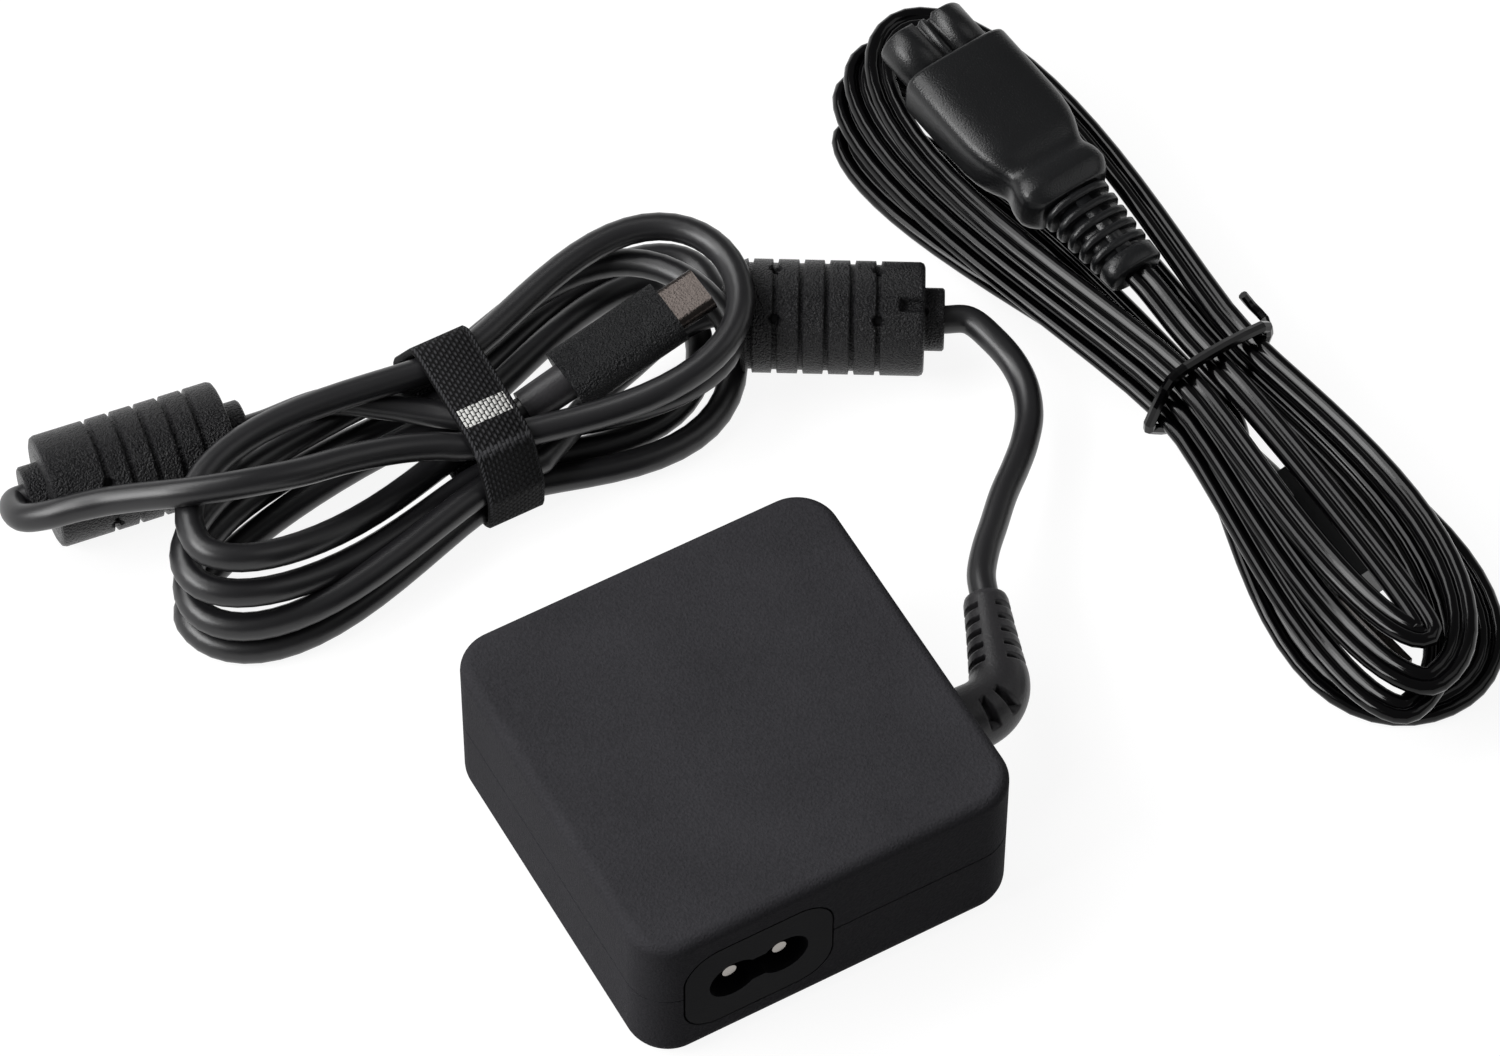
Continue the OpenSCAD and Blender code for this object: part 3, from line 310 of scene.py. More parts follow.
# the connector lies along its own x, from the ribbed boot at 0 to the end of its nose
connectorSettings = {
    # along, half width, half thickness
    "rows": [(49.5, 9.2, 4.6), (49.4, 9.6, 4.95), (49.1, 9.9, 5.2), (48.6, 10, 5.3), (42, 10, 5.3),
             (36, 10, 5.3), (33, 9.9, 5.3), (30.5, 9.55, 5.25), (28.6, 9.05, 5.1), (27.2, 8.5, 4.85),
             (26.1, 8.0, 4.55), (25.2, 7.7, 4.35), (24.4, 7.6, 4.3), (23.6, 7.75, 4.42),
             (22.9, 8.0, 4.65), (22.1, 8.2, 4.85), (21.2, 8.3, 4.95), (20.1, 8.32, 5.0),
             (19.7, 8.25, 4.95), (18.7, 7.85, 4.6), (17.9, 7.3, 4.3), (17.3, 6.7, 4.05), (17, 6.2, 3.8)],
    "square": 4.6,
    "corners": 96,
}
noseSettings = {
    "lobe": 4.0, "lobeAt": 4.15, "lobeSteps": 18,
    "start": 48.5, "end": 58.5,
    "rim": [(0.5, 0), (0.15, 0.15), (0, 0.5)],  # short of the end, and how far the outline draws in
    "groove": [(2.05, 4.0), (1.9, 2.5), (0.65, 2.4), (0.45, 3.4)],
    "hole": 1.28, "holeAt": 4.3, "holeDeep": 11.0, "holeCorners": 24,
}
ribSettings = {
    "wide": (4.9, 6.2), "thick": (3.05, 3.9), "length": 17.0, "square": 2.7, "corners": 48,
    "core": 0.7, "coreStart": 0.5,
    "tail": [(0, 0.9), (0.35, 1), (3.1, 1), (3.4, 0.93)],
    "rib": [(0, 0.93), (0.25, 1), (1.1, 1), (1.35, 0.93)],
    "ribs": 5, "firstRib": 4.35, "pitch": 2.7,
    "block": {"half": 1.3, "low": 1.8, "high": 3.15, "ends": [(1.5, 0.86), (17.0, 1.06)]},
}
connectorPlace = inMillimetres @ mainsFrame @ Matrix.Translation(connectorAt) @ connectorTurn


def ovalRing(x, halfWidth, halfThick, square, corners):
    ring = []
    for k in range(corners):
        c, s = cos(2 * pi * k / corners), sin(2 * pi * k / corners)
        ring.append((x, halfWidth * copysign(abs(c) ** (2 / square), c),
                     halfThick * copysign(abs(s) ** (2 / square), s)))
    return ring


def makeConnectorBody(s):
    build = bmesh.new()
    solid(build, [ovalRing(x, wide, thick, s["square"], s["corners"]) for x, wide, thick in s["rows"]])
    return finishPiece("connectorBody", build, connectorPlace)


# two round lobes, joined by a bridge with a groove above and below
def noseOutline(s, drawnIn):
    r = s["lobe"] - drawnIn
    turns = [pi * k / s["lobeSteps"] - pi / 2 for k in range(s["lobeSteps"] + 1)]
    lobe = [(s["lobeAt"] + r * cos(a), r * sin(a)) for a in turns]
    groove = [(y, z - drawnIn) for y, z in s["groove"]]
    groove += [(-y, z) for y, z in groove[::-1]]
    return lobe + groove + [(-y, z) for y, z in lobe[::-1]] + [(-y, -z) for y, z in groove]


def makeConnectorNose(s):
    build = bmesh.new()
    stations = [(s["start"], 0)] + [(s["end"] - short, drawnIn) for short, drawnIn in s["rim"]]
    drawn = pullAll(build, [[(x, y, z) for y, z in noseOutline(s, drawnIn)] for x, drawnIn in stations])
    fill(build, drawn[0])
    front = ringEdges(build, drawn[-1])
    for side in (-1, 1):
        place = Matrix.Translation((s["end"], side * s["holeAt"], 0)) @ Matrix.Rotation(pi / 2, 4, "Y")
        mouth = bmesh.ops.create_circle(build, segments=s["holeCorners"], radius=s["hole"],
                                        matrix=place)["verts"]
        front += ringEdges(build, mouth)
        fill(build, pull(build, mouth, [v.co - Vector((s["holeDeep"], 0, 0)) for v in mouth]))
    bmesh.ops.triangle_fill(build, use_beauty=True, edges=front)
    return finishPiece("connectorNose", build, connectorPlace)


def makeConnectorRibs(s):
    build = bmesh.new()

    def ring(x, scale):
        t = x / s["length"]
        wide, thick = (a + (b - a) * t for a, b in (s["wide"], s["thick"]))
        return ovalRing(x, wide * scale, thick * scale, s["square"], s["corners"])

    solid(build, [ring(x, s["core"]) for x in (s["coreStart"], s["length"])])
    solid(build, [ring(x, scale) for x, scale in s["tail"]])
    for k in range(s["ribs"]):
        start = s["firstRib"] + k * s["pitch"]
        solid(build, [ring(start + x, scale) for x, scale in s["rib"]])
    block = s["block"]
    for side in (-1, 1):
        low, high = side * block["low"], side * block["high"]
        solid(build, [[(x, y, z) for y, z in ((-block["half"], low), (block["half"], low),
                                              (block["half"], high * h), (-block["half"], high * h))]
                      for x, h in block["ends"]])
    return finishPiece("connectorRibs", build, connectorPlace)


connectorBody = makeConnectorBody(connectorSettings)
connectorNose = makeConnectorNose(noseSettings)
connectorRibs = makeConnectorRibs(ribSettings)
print("stage: mains connector")


# a round body along stations of place, direction, run and radius, with slots and holes cut in
def cutTube(name, stations, corners, cutAt):
    deepestShare = 0.4
    rings = []
    for place, along, run, radius in stations:
        side, rise = crossways(along)
        ring = []
        for k in range(corners):
            a = 2 * pi * k / corners
            r = radius - min(cutAt(run, a), radius * deepestShare)
            ring.append(place + (side * cos(a) + rise * sin(a)) * r)
        rings.append(ring)
    build = bmesh.new()
    solid(build, rings)
    return finishPiece(name, build, inMillimetres)


def finely(profile, step):
    out = [profile[0]]
    for (a, ra), (b, rb) in zip(profile, profile[1:]):
        parts = max(1, round((b - a) / step))
        out += [(a + (b - a) * k / parts, ra + (rb - ra) * k / parts) for k in range(1, parts + 1)]
    return out


def turnApart(a, b):
    return abs((a - b + pi) % (2 * pi) - pi)


def slotCut(run, a, slot, middle, centre):
    beside = abs(run - middle) - slot["wide"] / 2
    beyond = slot["radius"] * (turnApart(a, centre) - slot["half"])
    return slot["deep"] * max(0, 1 - max(beside, beyond, 0) / slot["soft"])


def holeCut(away, hole):
    return hole["deep"] * max(0, min(1, (hole["radius"] - away) / hole["soft"]))


ferriteSettings = {
    "radius": 9.2, "land": 8.6, "groove": 0.95, "grooveWall": 0.12,
    "collar": 5.1, "collarLength": 3.2, "collarEdge": 0.3,
    "edge": 0.8, "edgeBow": 0.3,
    "corners": 180, "step": 0.32,
    "slot": {"wide": 4.0, "half": radians(5.5), "radius": 9.2, "deep": 1.6, "soft": 0.2},
    "slotAt": 1.9,
    "hole": {"deep": 1.5, "radius": 0.95, "soft": 0.3},
    # "marks" are small holes, in the grooves named and at the turns named
    "near": {"from": nearRight, "axis": -nearAxis.normalized(), "length": 29.5,
             "grooves": (7.0, 11.2, 15.3, 19.4, 23.6, 27.6), "slotTurns": (radians(112),),
             "marks": [(g, radians(turn)) for g in (0, 4) for turn in (70, 130)]},
    "far": {"from": farLeft - 1.2 * farAxis, "axis": farAxis.normalized(), "length": 30.4,
            "grooves": (8.6, 12.7, 16.8, 20.9, 25.0), "slotTurns": (),
            "marks": [(0, radians(turn)) for turn in (44, -8)]},
}


def ferriteProfile(s, cover):
    start, r, collar = s["collarLength"], s["radius"], s["collar"]
    end = start + cover["length"]
    tip, e, bow = s["collarEdge"], s["edge"], s["edge"] * s["edgeBow"]
    profile = [(0, collar - tip), (tip, collar), (start, collar), (start, r - e), (start + bow, r - bow),
               (start + e, r)]
    for g in cover["grooves"]:
        opens, shuts = start + g, start + g + s["groove"]
        profile += [(opens, r), (opens + s["grooveWall"], s["land"]), (shuts - s["grooveWall"], s["land"]),
                    (shuts, r)]
    return profile + [(end - e, r), (end - bow, r - bow), (end, r - e), (end, collar),
                      (end + start - tip, collar), (end + start, collar - tip)]


def makeFerriteCover(name, s, cover):
    start, axis = s["collarLength"], cover["axis"]
    origin = cover["from"] - axis * start

    def cutAt(run, a):
        cuts = [slotCut(run, a, s["slot"], start + s["slotAt"], turn) for turn in cover["slotTurns"]]
        for index, turn in cover["marks"]:
            middle = start + cover["grooves"][index] + s["groove"] / 2
            cuts.append(holeCut(hypot(run - middle, s["radius"] * turnApart(a, turn)), s["hole"]))
        return max(cuts)

    stations = [(origin + axis * run, axis, run, radius)
                for run, radius in finely(ferriteProfile(s, cover), s["step"])]
    return cutTube(name, stations, s["corners"], cutAt)


bootSettings = {
    "start": Vector((32.0, -8.5, 14.5)), "corner": Vector((43.0, -8.5, 14.5)),
    "end": Vector((50.4, 9.75, 14.5)), "bend": 7.0,
    "radii": [(0, 5.5), (2.0, 5.45), (8.0, 5.2), (12.0, 4.9), (17.0, 4.4), (22.0, 3.95), (27.2, 3.6),
              (27.9, 3.4), (28.25, 2.9)],
    "corners": 144, "step": 0.22,
    # two slots across the arm at the case, and two rows of slots up the sides
    "armSlots": (6.7, 9.5), "armTurn": radians(56),
    "armSlot": {"wide": 0.65, "half": radians(29), "radius": 5.3, "deep": 2.1, "soft": 0.2},
    "sideSlots": 5, "pitch": 2.62, "first": 3.2, "sideTurns": (radians(20), radians(172)),
    "sideSlot": {"wide": 0.55, "half": radians(50), "radius": 4.0, "deep": 2.1, "soft": 0.2},
}


def makeBoot(s):
    inward = (s["corner"] - s["start"]).normalized()
    outward = (s["end"] - s["corner"]).normalized()
    turn = inward.angle(outward)
    cornerRun = s["bend"] * tan(turn / 2)
    bendStart = (s["corner"] - s["start"]).length - cornerRun
    bendEnd = bendStart + s["bend"] * turn
    total = bendEnd + (s["end"] - s["corner"]).length - cornerRun
    leftward = upward.cross(inward)
    centre = s["corner"] - inward * cornerRun + leftward * s["bend"]
    scale = total / s["radii"][-1][0]
    stations = []
    for run, radius in finely([(run * scale, radius) for run, radius in s["radii"]], s["step"]):
        if run < bendStart:
            place, along = s["start"] + inward * run, inward
        elif run < bendEnd:
            turned = Matrix.Rotation((run - bendStart) / s["bend"], 3, "Z")
            place, along = centre - turned @ leftward * s["bend"], turned @ inward
        else:
            place, along = s["end"] - outward * (total - run), outward
        stations.append((place, along, run, radius))
    sideSlots = [(total - s["first"] - k * s["pitch"], a)
                 for k in range(s["sideSlots"]) for a in s["sideTurns"]]

    def cutAt(run, a):
        cuts = [slotCut(run, a, s["armSlot"], middle, s["armTurn"]) for middle in s["armSlots"]]
        cuts += [slotCut(run, a, s["sideSlot"], middle, centre) for middle, centre in sideSlots]
        return max(cuts)

    return cutTube("outputBoot", stations, s["corners"], cutAt)


nearCover = makeFerriteCover("ferriteCoverNear", ferriteSettings, ferriteSettings["near"])
farCover = makeFerriteCover("ferriteCoverFar", ferriteSettings, ferriteSettings["far"])
elbow = makeBoot(bootSettings)
print("stage: ferrite covers and boot")


# shader groups give colours, masks and normals, and the materials hold the shaders
def newGroup(name, inputs, outputs):
    group = bpy.data.node_groups.new(name, "ShaderNodeTree")
    for label, kind, value in inputs:
        socket = group.interface.new_socket(label, in_out="INPUT", socket_type=kind)
        socket.default_value = value
    for label, kind in outputs:
        group.interface.new_socket(label, in_out="OUTPUT", socket_type=kind)
    return group, group.nodes.new("NodeGroupInput"), group.nodes.new("NodeGroupOutput")


def feed(tree, socket, value):
    if isinstance(value, (int, float)):
        socket.default_value = value
    else:
        tree.links.new(value, socket)


def noiseNode(tree, scale, detail, place):
    noise = tree.nodes.new("ShaderNodeTexNoise")
    noise.inputs["Detail"].default_value = detail
    feed(tree, noise.inputs["Scale"], scale)
    feed(tree, noise.inputs["Vector"], place)
    return noise.outputs["Fac"]


def mathNode(tree, kind, a, b):
    node = tree.nodes.new("ShaderNodeMath")
    node.operation = kind
    feed(tree, node.inputs[0], a)
    feed(tree, node.inputs[1], b)
    return node.outputs[0]


def bumpNode(tree, height, distance):
    bump = tree.nodes.new("ShaderNodeBump")
    bump.inputs["Strength"].default_value = 1
    feed(tree, bump.inputs["Distance"], distance)
    feed(tree, bump.inputs["Height"], height)
    return bump.outputs["Normal"]


def rangeNode(tree, value, low, high):
    node = tree.nodes.new("ShaderNodeMapRange")
    node.inputs["From Min"].default_value = low
    node.inputs["From Max"].default_value = high
    feed(tree, node.inputs["Value"], value)
    return node.outputs["Result"]


def colorMix(tree, factor, colorA, colorB):
    mix = tree.nodes.new("ShaderNodeMix")
    mix.data_type = "RGBA"
    feed(tree, mix.inputs["Factor"], factor)
    for label, color in (("A", colorA), ("B", colorB)):
        if isinstance(color, tuple):
            mix.inputs[label].default_value = (*color, 1)
        else:
            tree.links.new(color, mix.inputs[label])
    return mix.outputs["Result"]


# the fine grain of moulded plastic, and a broad cloud that shifts its tone
grainSettings = {"cloud": 60, "fineDetail": 2.0, "cloudDetail": 3.0, "fineShare": 0.6}


def makeGrain(settings):
    group, into, out = newGroup(
        "mouldedGrain",
        [("Scale", "NodeSocketFloat", 2600), ("Depth", "NodeSocketFloat", 0.03)],
        [("Normal", "NodeSocketVector"), ("Grain", "NodeSocketFloat"), ("Cloud", "NodeSocketFloat")])
    place = group.nodes.new("ShaderNodeTexCoord").outputs["Object"]
    fine = noiseNode(group, into.outputs["Scale"], settings["fineDetail"], place)
    cloud = noiseNode(group, settings["cloud"], settings["cloudDetail"], place)
    depth = mathNode(group, "MULTIPLY", into.outputs["Depth"], mm)
    group.links.new(bumpNode(group, fine, depth), out.inputs["Normal"])
    group.links.new(fine, out.inputs["Grain"])
    group.links.new(cloud, out.inputs["Cloud"])
    return group


grainGroup = makeGrain(grainSettings)


def surface(name, color, rough, scale=2600, depth=0.03, tint=0.15, roughTint=0.08, metal=0.0, specular=0.5):
    material = bpy.data.materials.new(name)
    material.use_nodes = True
    tree = material.node_tree
    shader = tree.nodes["Principled BSDF"]
    shader.inputs["Metallic"].default_value = metal
    shader.inputs["Specular IOR Level"].default_value = specular
    grain = tree.nodes.new("ShaderNodeGroup")
    grain.node_tree = grainGroup
    grain.inputs["Scale"].default_value = scale
    grain.inputs["Depth"].default_value = depth
    share = grainSettings["fineShare"]
    tone = mathNode(tree, "ADD", mathNode(tree, "MULTIPLY", grain.outputs["Grain"], share),
                    mathNode(tree, "MULTIPLY", grain.outputs["Cloud"], 1 - share))
    darker = tuple(c * (1 - tint) for c in color)
    lighter = tuple(min(c * (1 + tint), 1) for c in color)
    tree.links.new(colorMix(tree, tone, darker, lighter), shader.inputs["Base Color"])
    worn = mathNode(tree, "MULTIPLY", grain.outputs["Cloud"], roughTint)
    tree.links.new(mathNode(tree, "ADD", worn, rough - roughTint / 2), shader.inputs["Roughness"])
    tree.links.new(grain.outputs["Normal"], shader.inputs["Normal"])
    return material


# one finish for each material slot, with the depth of its grain in millimetres
finishes = {
    "case_plastic": dict(color=(0.0345, 0.0338, 0.0375), rough=0.78, depth=0.16, tint=0.6, specular=0.05),
    "inlet_plastic": dict(color=(0.0045, 0.0045, 0.0055), rough=0.66, specular=0.05),
    "pin_metal": dict(color=(0.30, 0.28, 0.26), rough=0.18, scale=1500, depth=0.004, tint=0.05,
                      roughTint=0.1, metal=1.0),
    "board": dict(color=(0.02, 0.10, 0.04), rough=0.4),
    "sheet_film": dict(color=(0.5, 0.45, 0.3), rough=0.4),
    "fuse_body": dict(color=(0.6, 0.57, 0.5), rough=0.3),
    "yellow_film": dict(color=(0.6, 0.38, 0.02), rough=0.35),
    "ferrite": dict(color=(0.02, 0.02, 0.022), rough=0.7),
    "copper": dict(color=(0.55, 0.2, 0.08), rough=0.35, metal=1.0),
    "black_epoxy": dict(color=(0.015, 0.015, 0.017), rough=0.5),
    "capacitor_sleeve": dict(color=(0.01, 0.02, 0.09), rough=0.3),
    "bare_aluminium": dict(color=(0.7, 0.71, 0.73), rough=0.35, metal=1.0),
    "blue_disc": dict(color=(0.02, 0.12, 0.4), rough=0.3),
    "wire_cover": dict(color=(0.4, 0.02, 0.015), rough=0.4),
    "boot_rubber": dict(color=(0.0240, 0.0230, 0.0250), rough=0.40, scale=2200, depth=0.05, tint=0.3,
                        specular=0.40),
    "lead_jacket": dict(color=(0.0090, 0.0088, 0.0100), rough=0.36, scale=1500, depth=0.006, specular=0.58),
    "cover_plastic": dict(color=(0.0050, 0.0048, 0.0060), rough=0.33, scale=2800, depth=0.62, tint=0.9,
                          specular=0.30),
    "plug_plastic": dict(color=(0.0055, 0.0057, 0.0066), rough=0.40, scale=2800, depth=0.60, tint=0.9,
                         specular=0.25),
    "nickel": dict(color=(0.056, 0.048, 0.044), rough=0.24, scale=3000, depth=0.06, tint=0.5,
                   roughTint=0.1, metal=1.0),
    "insert_plastic": dict(color=(0.01, 0.01, 0.011), rough=0.4),
    "strap_fabric": dict(color=(0.010, 0.010, 0.011), rough=0.8, specular=0.2),
    "mains_plastic": dict(color=(0.0062, 0.0065, 0.0072), rough=0.30, scale=3400, depth=0.05, tint=0.4,
                          specular=0.42),
    "mains_jacket": dict(color=(0.0010, 0.0009, 0.0012), rough=0.12, scale=1500, depth=0.003,
                         specular=0.26),
    "contact_metal": dict(color=(0.8, 0.6, 0.25), rough=0.3, metal=1.0),
}


def camelCase(slot):
    first, *others = slot.split("_")
    return first + "".join(word.title() for word in others)


looks = {slot: surface(camelCase(slot), **finish) for slot, finish in finishes.items()}
slotOf = {part["node"]: part["material_slot"] for part in frame["record"]["subparts"]}


def dress(piece, slot):
    piece.data.materials.clear()
    piece.data.materials.append(looks[slot])


for name, cad in nodes.items():
    dress(cad, slotOf[name])
print("stage: surfaces")

strapSettings = {
    "width": 10.0, "thick": 1.1, "edge": 0.35, "left": -7.4, "step": 0.5,
    "legsAt": (0.5, 6),  # the hank's strands are met this far from the tie
    # where the other strands run through the strap, as y and z
    "others": [(70, 9.3), (69.6, 9.4), (73.8, 15.4), (74.3, 15.8), (83, 12), (82.2, 12.1), (79.2, 12.6),
               (80, 12.7), (78.6, 12.4)],
    "upperSide": 12, "patch": (74.7, 78.5), "seam": 70.3,
}
twillSettings = {
    "column": 0.68, "stitch": 1.15, "stagger": 0.38, "across": 0.7, "along": 0.6,
    "edge": 0.85, "edgeHeight": 1.6, "twist": 8.0, "twistShare": 0.25,
    "seamHalf": 0.8, "seamHeight": 1.2, "depth": 0.22,
    # thread height sets the colour: hollows between threads are painted dark as painted shade, raised
    # threads, edges and seam painted lighter as painted highlight
    "threadShadeRange": (0.6, 1.0), "patchShadeRange": (0.25, 0.5),
    "gapShadeColor": (0.0018, 0.0018, 0.0022), "threadColor": (0.040, 0.040, 0.043),
    "patchColor": (0.62, 0.62, 0.60),
}


def strandSpots(strap, lead):
    spots = []
    for row in lead["halves"]:
        for goingBack in (False, True):
            for x in strap["legsAt"]:
                across, height = legAt(lead, row, goingBack, x / row[3])
                spots.append((across + lead["tie"].y, height))
    return spots + strap["others"]


# the outline of a band drawn tight round discs
def hullRound(spots, radius):
    corners, digits = 72, 4
    turns = [2 * pi * k / corners for k in range(corners)]
    dots = sorted({(round(y + radius * cos(a), digits), round(z + radius * sin(a), digits))
                   for y, z in spots for a in turns})

    def half(seq):
        chain = []
        for p in seq:
            while len(chain) > 1 and ((chain[-1][0] - chain[-2][0]) * (p[1] - chain[-2][1])
                                      - (chain[-1][1] - chain[-2][1]) * (p[0] - chain[-2][0])) <= 0:
                chain.pop()
            chain.append(p)
        return chain[:-1]

    return half(dots) + half(dots[::-1])


def evenly(loop, step):
    out = []
    carry = 0.0
    for a, b in zip(loop, loop[1:] + loop[:1]):
        d = hypot(b[0] - a[0], b[1] - a[1])
        while carry < d:
            out.append((a[0] + (b[0] - a[0]) * carry / d, a[1] + (b[1] - a[1]) * carry / d))
            carry += step
        carry -= d
    return out


def strapProfile(s):
    wide, thick, edge = s["width"], s["thick"], s["edge"]
    return [(0, edge), (edge, 0), (wide - edge, 0), (wide, edge), (wide, thick - edge),
            (wide - edge, thick), (edge, thick), (0, thick - edge)]


def makeStrap(s, inner):
    profile = strapProfile(s)
    floorGap = 0.02
    slopeOver = 3
    rings = []
    for i, (y, z) in enumerate(inner):
        a, b = inner[i - slopeOver], inner[(i + slopeOver) % len(inner)]
        ny, nz = b[1] - a[1], a[0] - b[0]
        n = hypot(ny, nz)
        rings.append([(s["left"] + x, y + ny / n * h, max(z + nz / n * h, floorGap)) for x, h in profile])
    build = bmesh.new()
    drawn = pullAll(build, rings + rings[:1])
    cloth = build.loops.layers.uv.new("cloth")
    clothAt = {vert: (i * s["step"], x)
               for i, ring in enumerate(drawn) for vert, (x, h) in zip(ring, profile)}
    for face in build.faces:
        for corner in face.loops:
            corner[cloth].uv = clothAt[corner.vert]
    bmesh.ops.remove_doubles(build, verts=drawn[0] + drawn[-1], dist=0.0001)
    return finishPiece("strapBand", build, inMillimetres)


# how far along the band the pale patch and the seam lie
def strapMarks(s, inner):
    upper = [k for k, (y, z) in enumerate(inner) if z > s["upperSide"]]
    low, high = s["patch"]
    patch = [k * s["step"] for k in upper if low < inner[k][0] < high]
    seam = min((k for k in upper if inner[k][0] > s["seam"]), key=lambda k: inner[k][0]) * s["step"]
    return (min(patch), max(patch)), seam


bandLine = evenly(hullRound(strandSpots(strapSettings, leadSettings), leadSettings["diameter"] / 2),
                  strapSettings["step"])
strap = makeStrap(strapSettings, bandLine)
patchSpan, seamAt = strapMarks(strapSettings, bandLine)


# u runs along the band and v across it, both in millimetres
def makeTwill(s, width):
    group, into, out = newGroup(
        "twillWeave",
        [("From", "NodeSocketFloat", 0.0), ("To", "NodeSocketFloat", 0.0), ("Seam", "NodeSocketFloat", 0.0)],
        [("Normal", "NodeSocketVector"), ("Thread", "NodeSocketFloat"), ("Patch", "NodeSocketFloat")])

    def calc(kind, a, b=0.0):
        return mathNode(group, kind, a, b)

    def hump(value):
        return calc("SINE", calc("MULTIPLY", calc("FRACT", value), pi))

    place = group.nodes.new("ShaderNodeSeparateXYZ")
    group.links.new(group.nodes.new("ShaderNodeTexCoord").outputs["UV"], place.inputs[0])
    u, v = place.outputs["X"], place.outputs["Y"]
    column = calc("DIVIDE", v, s["column"])
    shift = calc("MULTIPLY", calc("FLOOR", column), s["stagger"])
    stitch = calc("ADD", calc("DIVIDE", u, s["stitch"]), shift)
    thread = calc("MULTIPLY", calc("POWER", hump(column), s["across"]),
                  calc("POWER", hump(stitch), s["along"]))
    rim = calc("MINIMUM", v, calc("SUBTRACT", width, v))
    inside = calc("GREATER_THAN", rim, s["edge"])
    roll = calc("SINE", calc("MULTIPLY", calc("DIVIDE", rim, s["edge"]), pi))
    wave = calc("SINE", calc("MULTIPLY", calc("ADD", u, v), s["twist"]))
    twist = calc("ADD", 1 - s["twistShare"], calc("MULTIPLY", s["twistShare"], wave))
    border = calc("MULTIPLY", calc("SUBTRACT", 1.0, inside), calc("MULTIPLY", roll, twist))
    height = calc("ADD", calc("MULTIPLY", inside, thread), calc("MULTIPLY", border, s["edgeHeight"]))
    away = calc("ABSOLUTE", calc("SUBTRACT", u, into.outputs["Seam"]))
    seam = calc("MAXIMUM", calc("SUBTRACT", 1.0, calc("DIVIDE", away, s["seamHalf"])), 0.0)
    height = calc("ADD", height, calc("MULTIPLY", seam, s["seamHeight"]))
    group.links.new(bumpNode(group, height, s["depth"] * mm), out.inputs["Normal"])
    group.links.new(height, out.inputs["Thread"])
    within = calc("MULTIPLY", calc("GREATER_THAN", u, into.outputs["From"]),
                  calc("LESS_THAN", u, into.outputs["To"]))
    group.links.new(calc("MULTIPLY", within, inside), out.inputs["Patch"])
    return group


def weaveStrap(material, s):
    tree = material.node_tree
    shader = tree.nodes["Principled BSDF"]
    weave = tree.nodes.new("ShaderNodeGroup")
    weave.node_tree = makeTwill(s, strapSettings["width"])
    weave.inputs["From"].default_value, weave.inputs["To"].default_value = patchSpan
    weave.inputs["Seam"].default_value = seamAt
    thread = weave.outputs["Thread"]
    # painted shade in the hollows between threads and painted highlight on raised threads, edges and seam,
    # on the black weave and on the pale patch alike
    shadedThreads = colorMix(tree, rangeNode(tree, thread, *s["threadShadeRange"]), s["gapShadeColor"], s["threadColor"])
    shadedPatch = mathNode(tree, "MULTIPLY", weave.outputs["Patch"], rangeNode(tree, thread, *s["patchShadeRange"]))
    tree.links.new(colorMix(tree, shadedPatch, shadedThreads, s["patchColor"]), shader.inputs["Base Color"])
    tree.links.new(weave.outputs["Normal"], shader.inputs["Normal"])


weaveStrap(looks["strap_fabric"], twillSettings)
print("stage: strap")

# each new piece with its body, its slot and the nodes that it stands for
newPieces = [
    (outputLead, "adapter", "lead_jacket", ("lead_first_stretch", "lead_through_near", "lead_hank",
                                            "lead_reach", "lead_through_far", "lead_plug_stretch")),
    (mainsCord, "mains_lead", "mains_jacket", ("mains_lead_stretch", "mains_hank", "mains_plug_stretch")),
    (strap, "adapter", "strap_fabric", ("cord_strap",)),
    (nearCover, "adapter", "cover_plastic", ("ferrite_cover_near",)),
    (farCover, "adapter", "cover_plastic", ("ferrite_cover_far",)),
    (elbow, "adapter", "boot_rubber", ("output_boot",)),
    (connectorBody, "mains_lead", "mains_plastic", ("mains_connector",)),
    (connectorNose, "mains_lead", "mains_plastic", ()),
    (connectorRibs, "mains_lead", "mains_plastic", ("connector_boot",)),
]
for piece, body, slot, standsFor in newPieces:
    dress(piece, slot)
    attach(piece, body)
    if standsFor:
        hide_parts(*standsFor)
print("stage: bodies and cords")

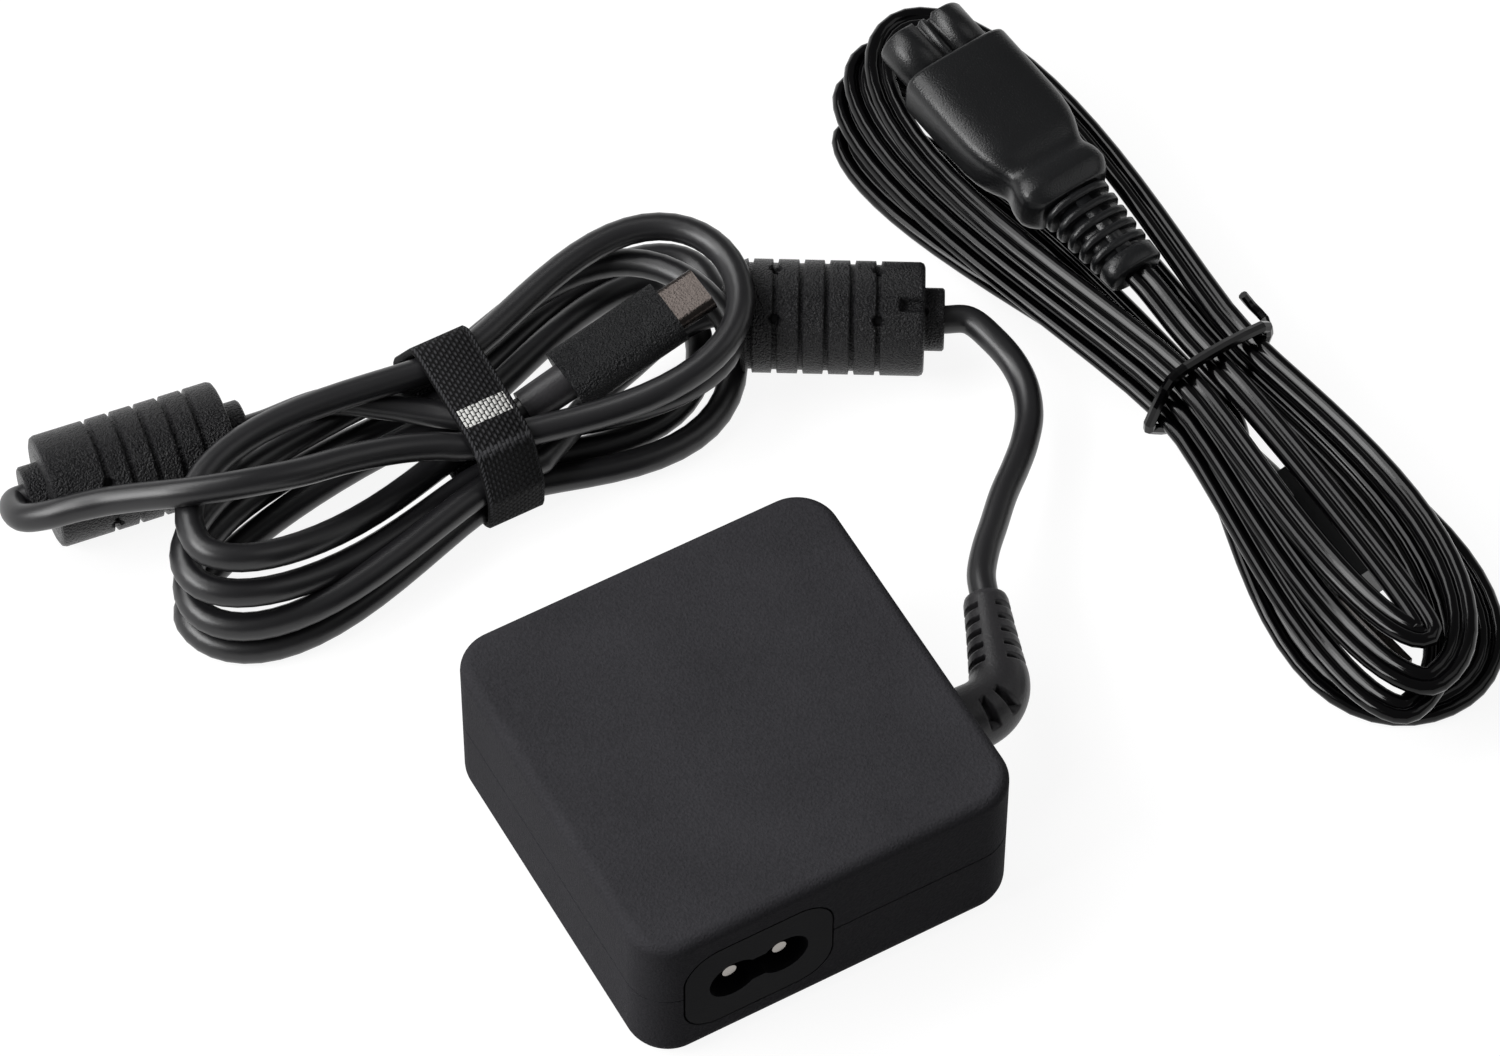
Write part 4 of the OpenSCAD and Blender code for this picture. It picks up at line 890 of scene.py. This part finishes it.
# the sheet of white paper that the object lies on is turned up at its four sides
paperSettings = {
    "half": 3.0, "wall": 0.9, "white": 0.905,
    "finish": dict(color=(0.16, 0.16, 0.16), rough=0.9, scale=400, depth=0.0, tint=0.004, roughTint=0.02,
                   specular=0.0),
}
lightSettings = {
    "aim": (0.03, 0.04, 0), "sky": 0.15,
    "keyLight": {"place": (-1.0, 0.25, 0.85), "size": (0.8, 0.6), "power": 15},
    "fillLight": {"place": (0.9, -0.3, 1.1), "size": (0.8, 0.8), "power": 1.5},
    "topLight": {"place": (-0.45, 0.8, 1.2), "size": (1.0, 0.8), "power": 11},
}


def makePaper(s):
    build = bmesh.new()
    bmesh.ops.create_grid(build, x_segments=1, y_segments=1, size=s["half"])
    made = bmesh.ops.extrude_edge_only(build, edges=build.edges[:])["geom"]
    bmesh.ops.translate(build, vec=(0, 0, s["wall"]),
                        verts=[part for part in made if isinstance(part, bmesh.types.BMVert)])
    floor = finishPiece("floor", build, Matrix(), rounded=False)
    paper = surface("paper", **s["finish"])
    floor.data.materials.append(paper)
    tree = paper.node_tree
    rays = tree.nodes.new("ShaderNodeLightPath").outputs
    seen = mathNode(tree, "MAXIMUM", rays["Is Camera Ray"],
                    mathNode(tree, "MAXIMUM", rays["Is Glossy Ray"], rays["Is Transmission Ray"]))
    shader = tree.nodes["Principled BSDF"]
    shader.inputs["Emission Color"].default_value = (1, 1, 1, 1)
    tree.links.new(mathNode(tree, "MULTIPLY", seen, s["white"]), shader.inputs["Emission Strength"])


def areaLight(name, aim, place, size, power):
    data = bpy.data.lights.new(name, "AREA")
    data.shape = "RECTANGLE"
    data.size, data.size_y = size
    data.energy = power
    lamp = bpy.data.objects.new(name, data)
    lamp.location = place
    lamp.rotation_euler = (Vector(place) - Vector(aim)).to_track_quat("Z", "Y").to_euler()
    scene.collection.objects.link(lamp)


makePaper(paperSettings)
for name in ("keyLight", "fillLight", "topLight"):
    areaLight(name, lightSettings["aim"], **lightSettings[name])
world = bpy.data.worlds.new("world")
scene.world = world
world.use_nodes = True
sky = world.node_tree.nodes["Background"].inputs
sky["Color"].default_value = (1, 1, 1, 1)
sky["Strength"].default_value = lightSettings["sky"]
scene.view_settings.view_transform = "Standard"
print("stage: light")
